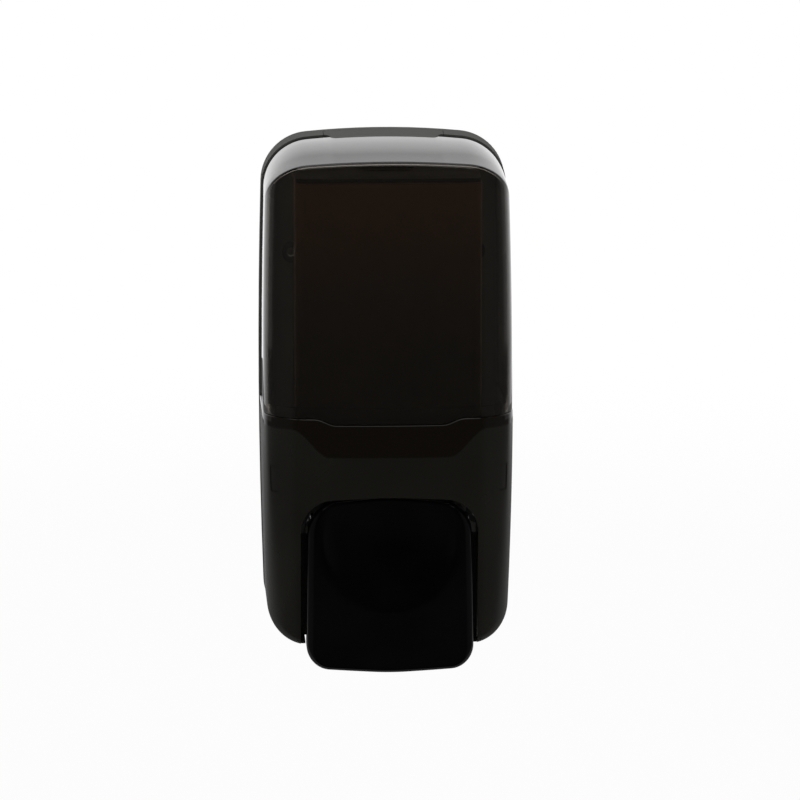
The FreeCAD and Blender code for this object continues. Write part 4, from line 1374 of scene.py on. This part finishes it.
@dataclass(frozen=True)
class Studio:
    """Floor, surroundings, lamps and camera, in metres."""

    azimuth: float = -2.57
    elevation: float = 10.42
    distance: float = 4.0
    lens: float = 322.4
    sensor: float = 36.0
    clip_end: float = 20.0
    target: tuple[float, float, float] = (0.0076, -0.05, -0.0018)
    floor_middle: tuple[float, float, float] = (0.0, 1.3, -0.5)
    floor_radius: float = 1.6
    floor_step: int = 6         # degrees between its points
    floor_colours: tuple[str, str] = ("8a8a8a", "939393")
    floor_grain: float = 6.0    # noise patches to a metre
    floor_fade: float = 0.7     # distance from the middle at which the glow starts to grow to full
    floor_glow: float = 0.97
    wall_half: float = 0.062
    wall_heights: tuple[float, float] = (-0.12, 0.13)
    wall_gap: float = 0.001
    wall_colour: str = "8c8a86"
    ambient: float = 0.62
    bright_side: tuple[float, float, float] = (0.0, 0.98, 0.17)
    bright_span: tuple[float, float] = (0.45, 1.0)      # cosines from that side over which the light grows
    back_level: float = 1.15
    dark_side: float = 0.022
    dark_share: float = 0.2     # what is left of it away from the band below level
    dark_span: tuple[float, float] = (0.1, 0.5)
    table_dip: float = -0.15
    flank: float = 0.055
    flank_span: tuple[float, float] = (0.5, 0.85)

    def camera(self) -> None:
        """Adds the camera, which looks straight at its target."""
        a, e = math.radians(self.azimuth), math.radians(self.elevation)
        back = Vector((math.sin(a) * math.cos(e), -math.cos(a) * math.cos(e), math.sin(e)))
        data = bpy.data.cameras.new("camera")
        data.lens = self.lens
        data.sensor_width = self.sensor
        data.clip_end = self.clip_end
        camera = linked("camera", data)
        camera.location = Vector(self.target) + back * self.distance
        camera.rotation_euler = (-back).to_track_quat("-Z", "Y").to_euler()
        bpy.context.scene.camera = camera

    def floor_paint(self, tree: Tree) -> Socket:
        """Makes the floor's surface: matt paint that glows to the camera, so that only a soft shadow shows.

        Args:
            tree: The node tree.

        Returns:
            The shader's socket.
        """
        place = place_of(tree)
        grain = add(tree, "TexNoise", Vector=place, Scale=self.floor_grain, Detail=2.0).outputs["Fac"]
        paint = add(tree, "BsdfDiffuse", Color=blend_colours(tree, grain, *self.floor_colours))
        away = calc(tree, "DISTANCE", place, self.floor_middle, "VectorMath")
        fade = between(tree, away, (self.floor_fade, self.floor_radius), self.floor_glow, 1.0)
        share = calc(tree, "MULTIPLY", add(tree, "LightPath").outputs["Is Camera Ray"], fade)
        return mix_shaders(tree, share, paint, add(tree, "Emission", Color=WHITE, Strength=1.0))

    def floor(self) -> None:
        """Adds a pale round floor well under the object."""
        x, y, z = self.floor_middle
        ring = circle((x, y), self.floor_radius, np.arange(0, 360, self.floor_step)).tolist()
        floor = flat_sheet("floor", [(*point, z) for point in ring],
                           new_material("matte_white_floor", self.floor_paint))
        floor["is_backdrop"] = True

    def wall_plaster(self, tree: Tree) -> Socket:
        """Makes the wall's surface, which only light that has come through the window meets.

        Args:
            tree: The node tree.

        Returns:
            The shader's socket.
        """
        seen = add(tree, "LightPath").outputs["Is Transmission Ray"]
        return mix_shaders(tree, seen, add(tree, "BsdfTransparent"),
                           add(tree, "BsdfDiffuse", Color=linear(self.wall_colour)))

    def wall(self) -> None:
        """Adds the bit of wall right behind the object, seen through the window and the screw holes."""
        (low, high), half = self.wall_heights, self.wall_half
        ring = [(x, self.wall_gap, z) for x, z in ((-half, low), (half, low), (half, high), (-half, high))]
        patch = flat_sheet("wall_patch", ring, new_material("shaded_wall_plaster", self.wall_plaster))
        patch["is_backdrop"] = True

    def surroundings(self) -> None:
        """Makes the world: white to the camera, an even grey to matt surfaces, a room to gloss and glass.

        The room is white behind the object, dimmer above it and dark in front, with slightly lighter flanks
        and a lighter band a little below level. Light that has met a matt surface sees the even grey too.
        """
        world = bpy.data.worlds.new("surroundings")
        bpy.context.scene.world = world
        tree = emptied(world)
        direction = add(tree, "TexCoord").outputs["Generated"]
        facing = calc(tree, "DOT_PRODUCT", direction, self.bright_side, "VectorMath")
        behind = between(tree, facing, self.bright_span, 0.0, self.back_level)
        level = calc(tree, "ABSOLUTE", calc(tree, "SUBTRACT", axis_of(tree, direction, "Z"), self.table_dip))
        front = between(tree, level, self.dark_span, self.dark_side, self.dark_share * self.dark_side)
        aside = calc(tree, "ABSOLUTE", axis_of(tree, direction, "X"))
        flanks = between(tree, aside, self.flank_span, 0.0, self.flank)
        room = calc(tree, "MAXIMUM", behind, calc(tree, "MAXIMUM", flanks, front))
        path = add(tree, "LightPath").outputs
        sheen = calc(tree, "MAXIMUM", path["Is Glossy Ray"], path["Is Transmission Ray"])
        mirrored = calc(tree, "MULTIPLY", sheen, calc(tree, "LESS_THAN", path["Diffuse Depth"], 0.5))
        seen = faded(tree, path["Is Camera Ray"], faded(tree, mirrored, self.ambient, room), 1.0)
        light = add(tree, "Background", Color=WHITE, Strength=seen)
        add(tree, "OutputWorld", Surface=light.outputs["Background"])

    def build(self) -> None:
        """Builds the whole studio."""
        self.camera()
        self.floor()
        self.wall()
        self.surroundings()
        for lamp in LAMPS:
            lamp.build(Vector(self.target))
        bpy.context.scene.view_settings.view_transform = "Standard"


def corners(box: tuple[Vector, Vector]) -> list[list[float]]:
    """Gives two corner vectors as plain lists."""
    return [[float(value) for value in corner] for corner in box]


def main(frame: dict, cad_box: list[list[float]]) -> None:
    """Builds and dresses every sub-assembly.

    Args:
        frame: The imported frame.
    """
    logging.basicConfig(level=logging.INFO, format="%(message)s")
    Studio().build()
    dress_nodes(frame["nodes"])
    CoverWindow("cover_window_shell", "cover", "cover_smoke_gloss", Finish.SMOKE_WINDOW,
                seam_z=SEAM.height + SEAM.gap).build()
    SnapLegs("cover_snap_legs", "cover", "cover_smoke_satin", Finish.SMOKE_SATIN).build()
    CoverBase("cover_lower_shell", "cover", "cover_smoke_satin", Finish.SMOKE_SATIN, inset=0.3,
              pole_z=-88.0, upper=False, steps=(30, 16, 30)).build()
    Lever("palm_lever", "lever", "lever_black_gloss", Finish.POLISHED_ABS).build()
    {"cad": cad_box, "visual": corners(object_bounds())}


if __name__ == "__main__":
    main(frame, corners(cad_bounds))
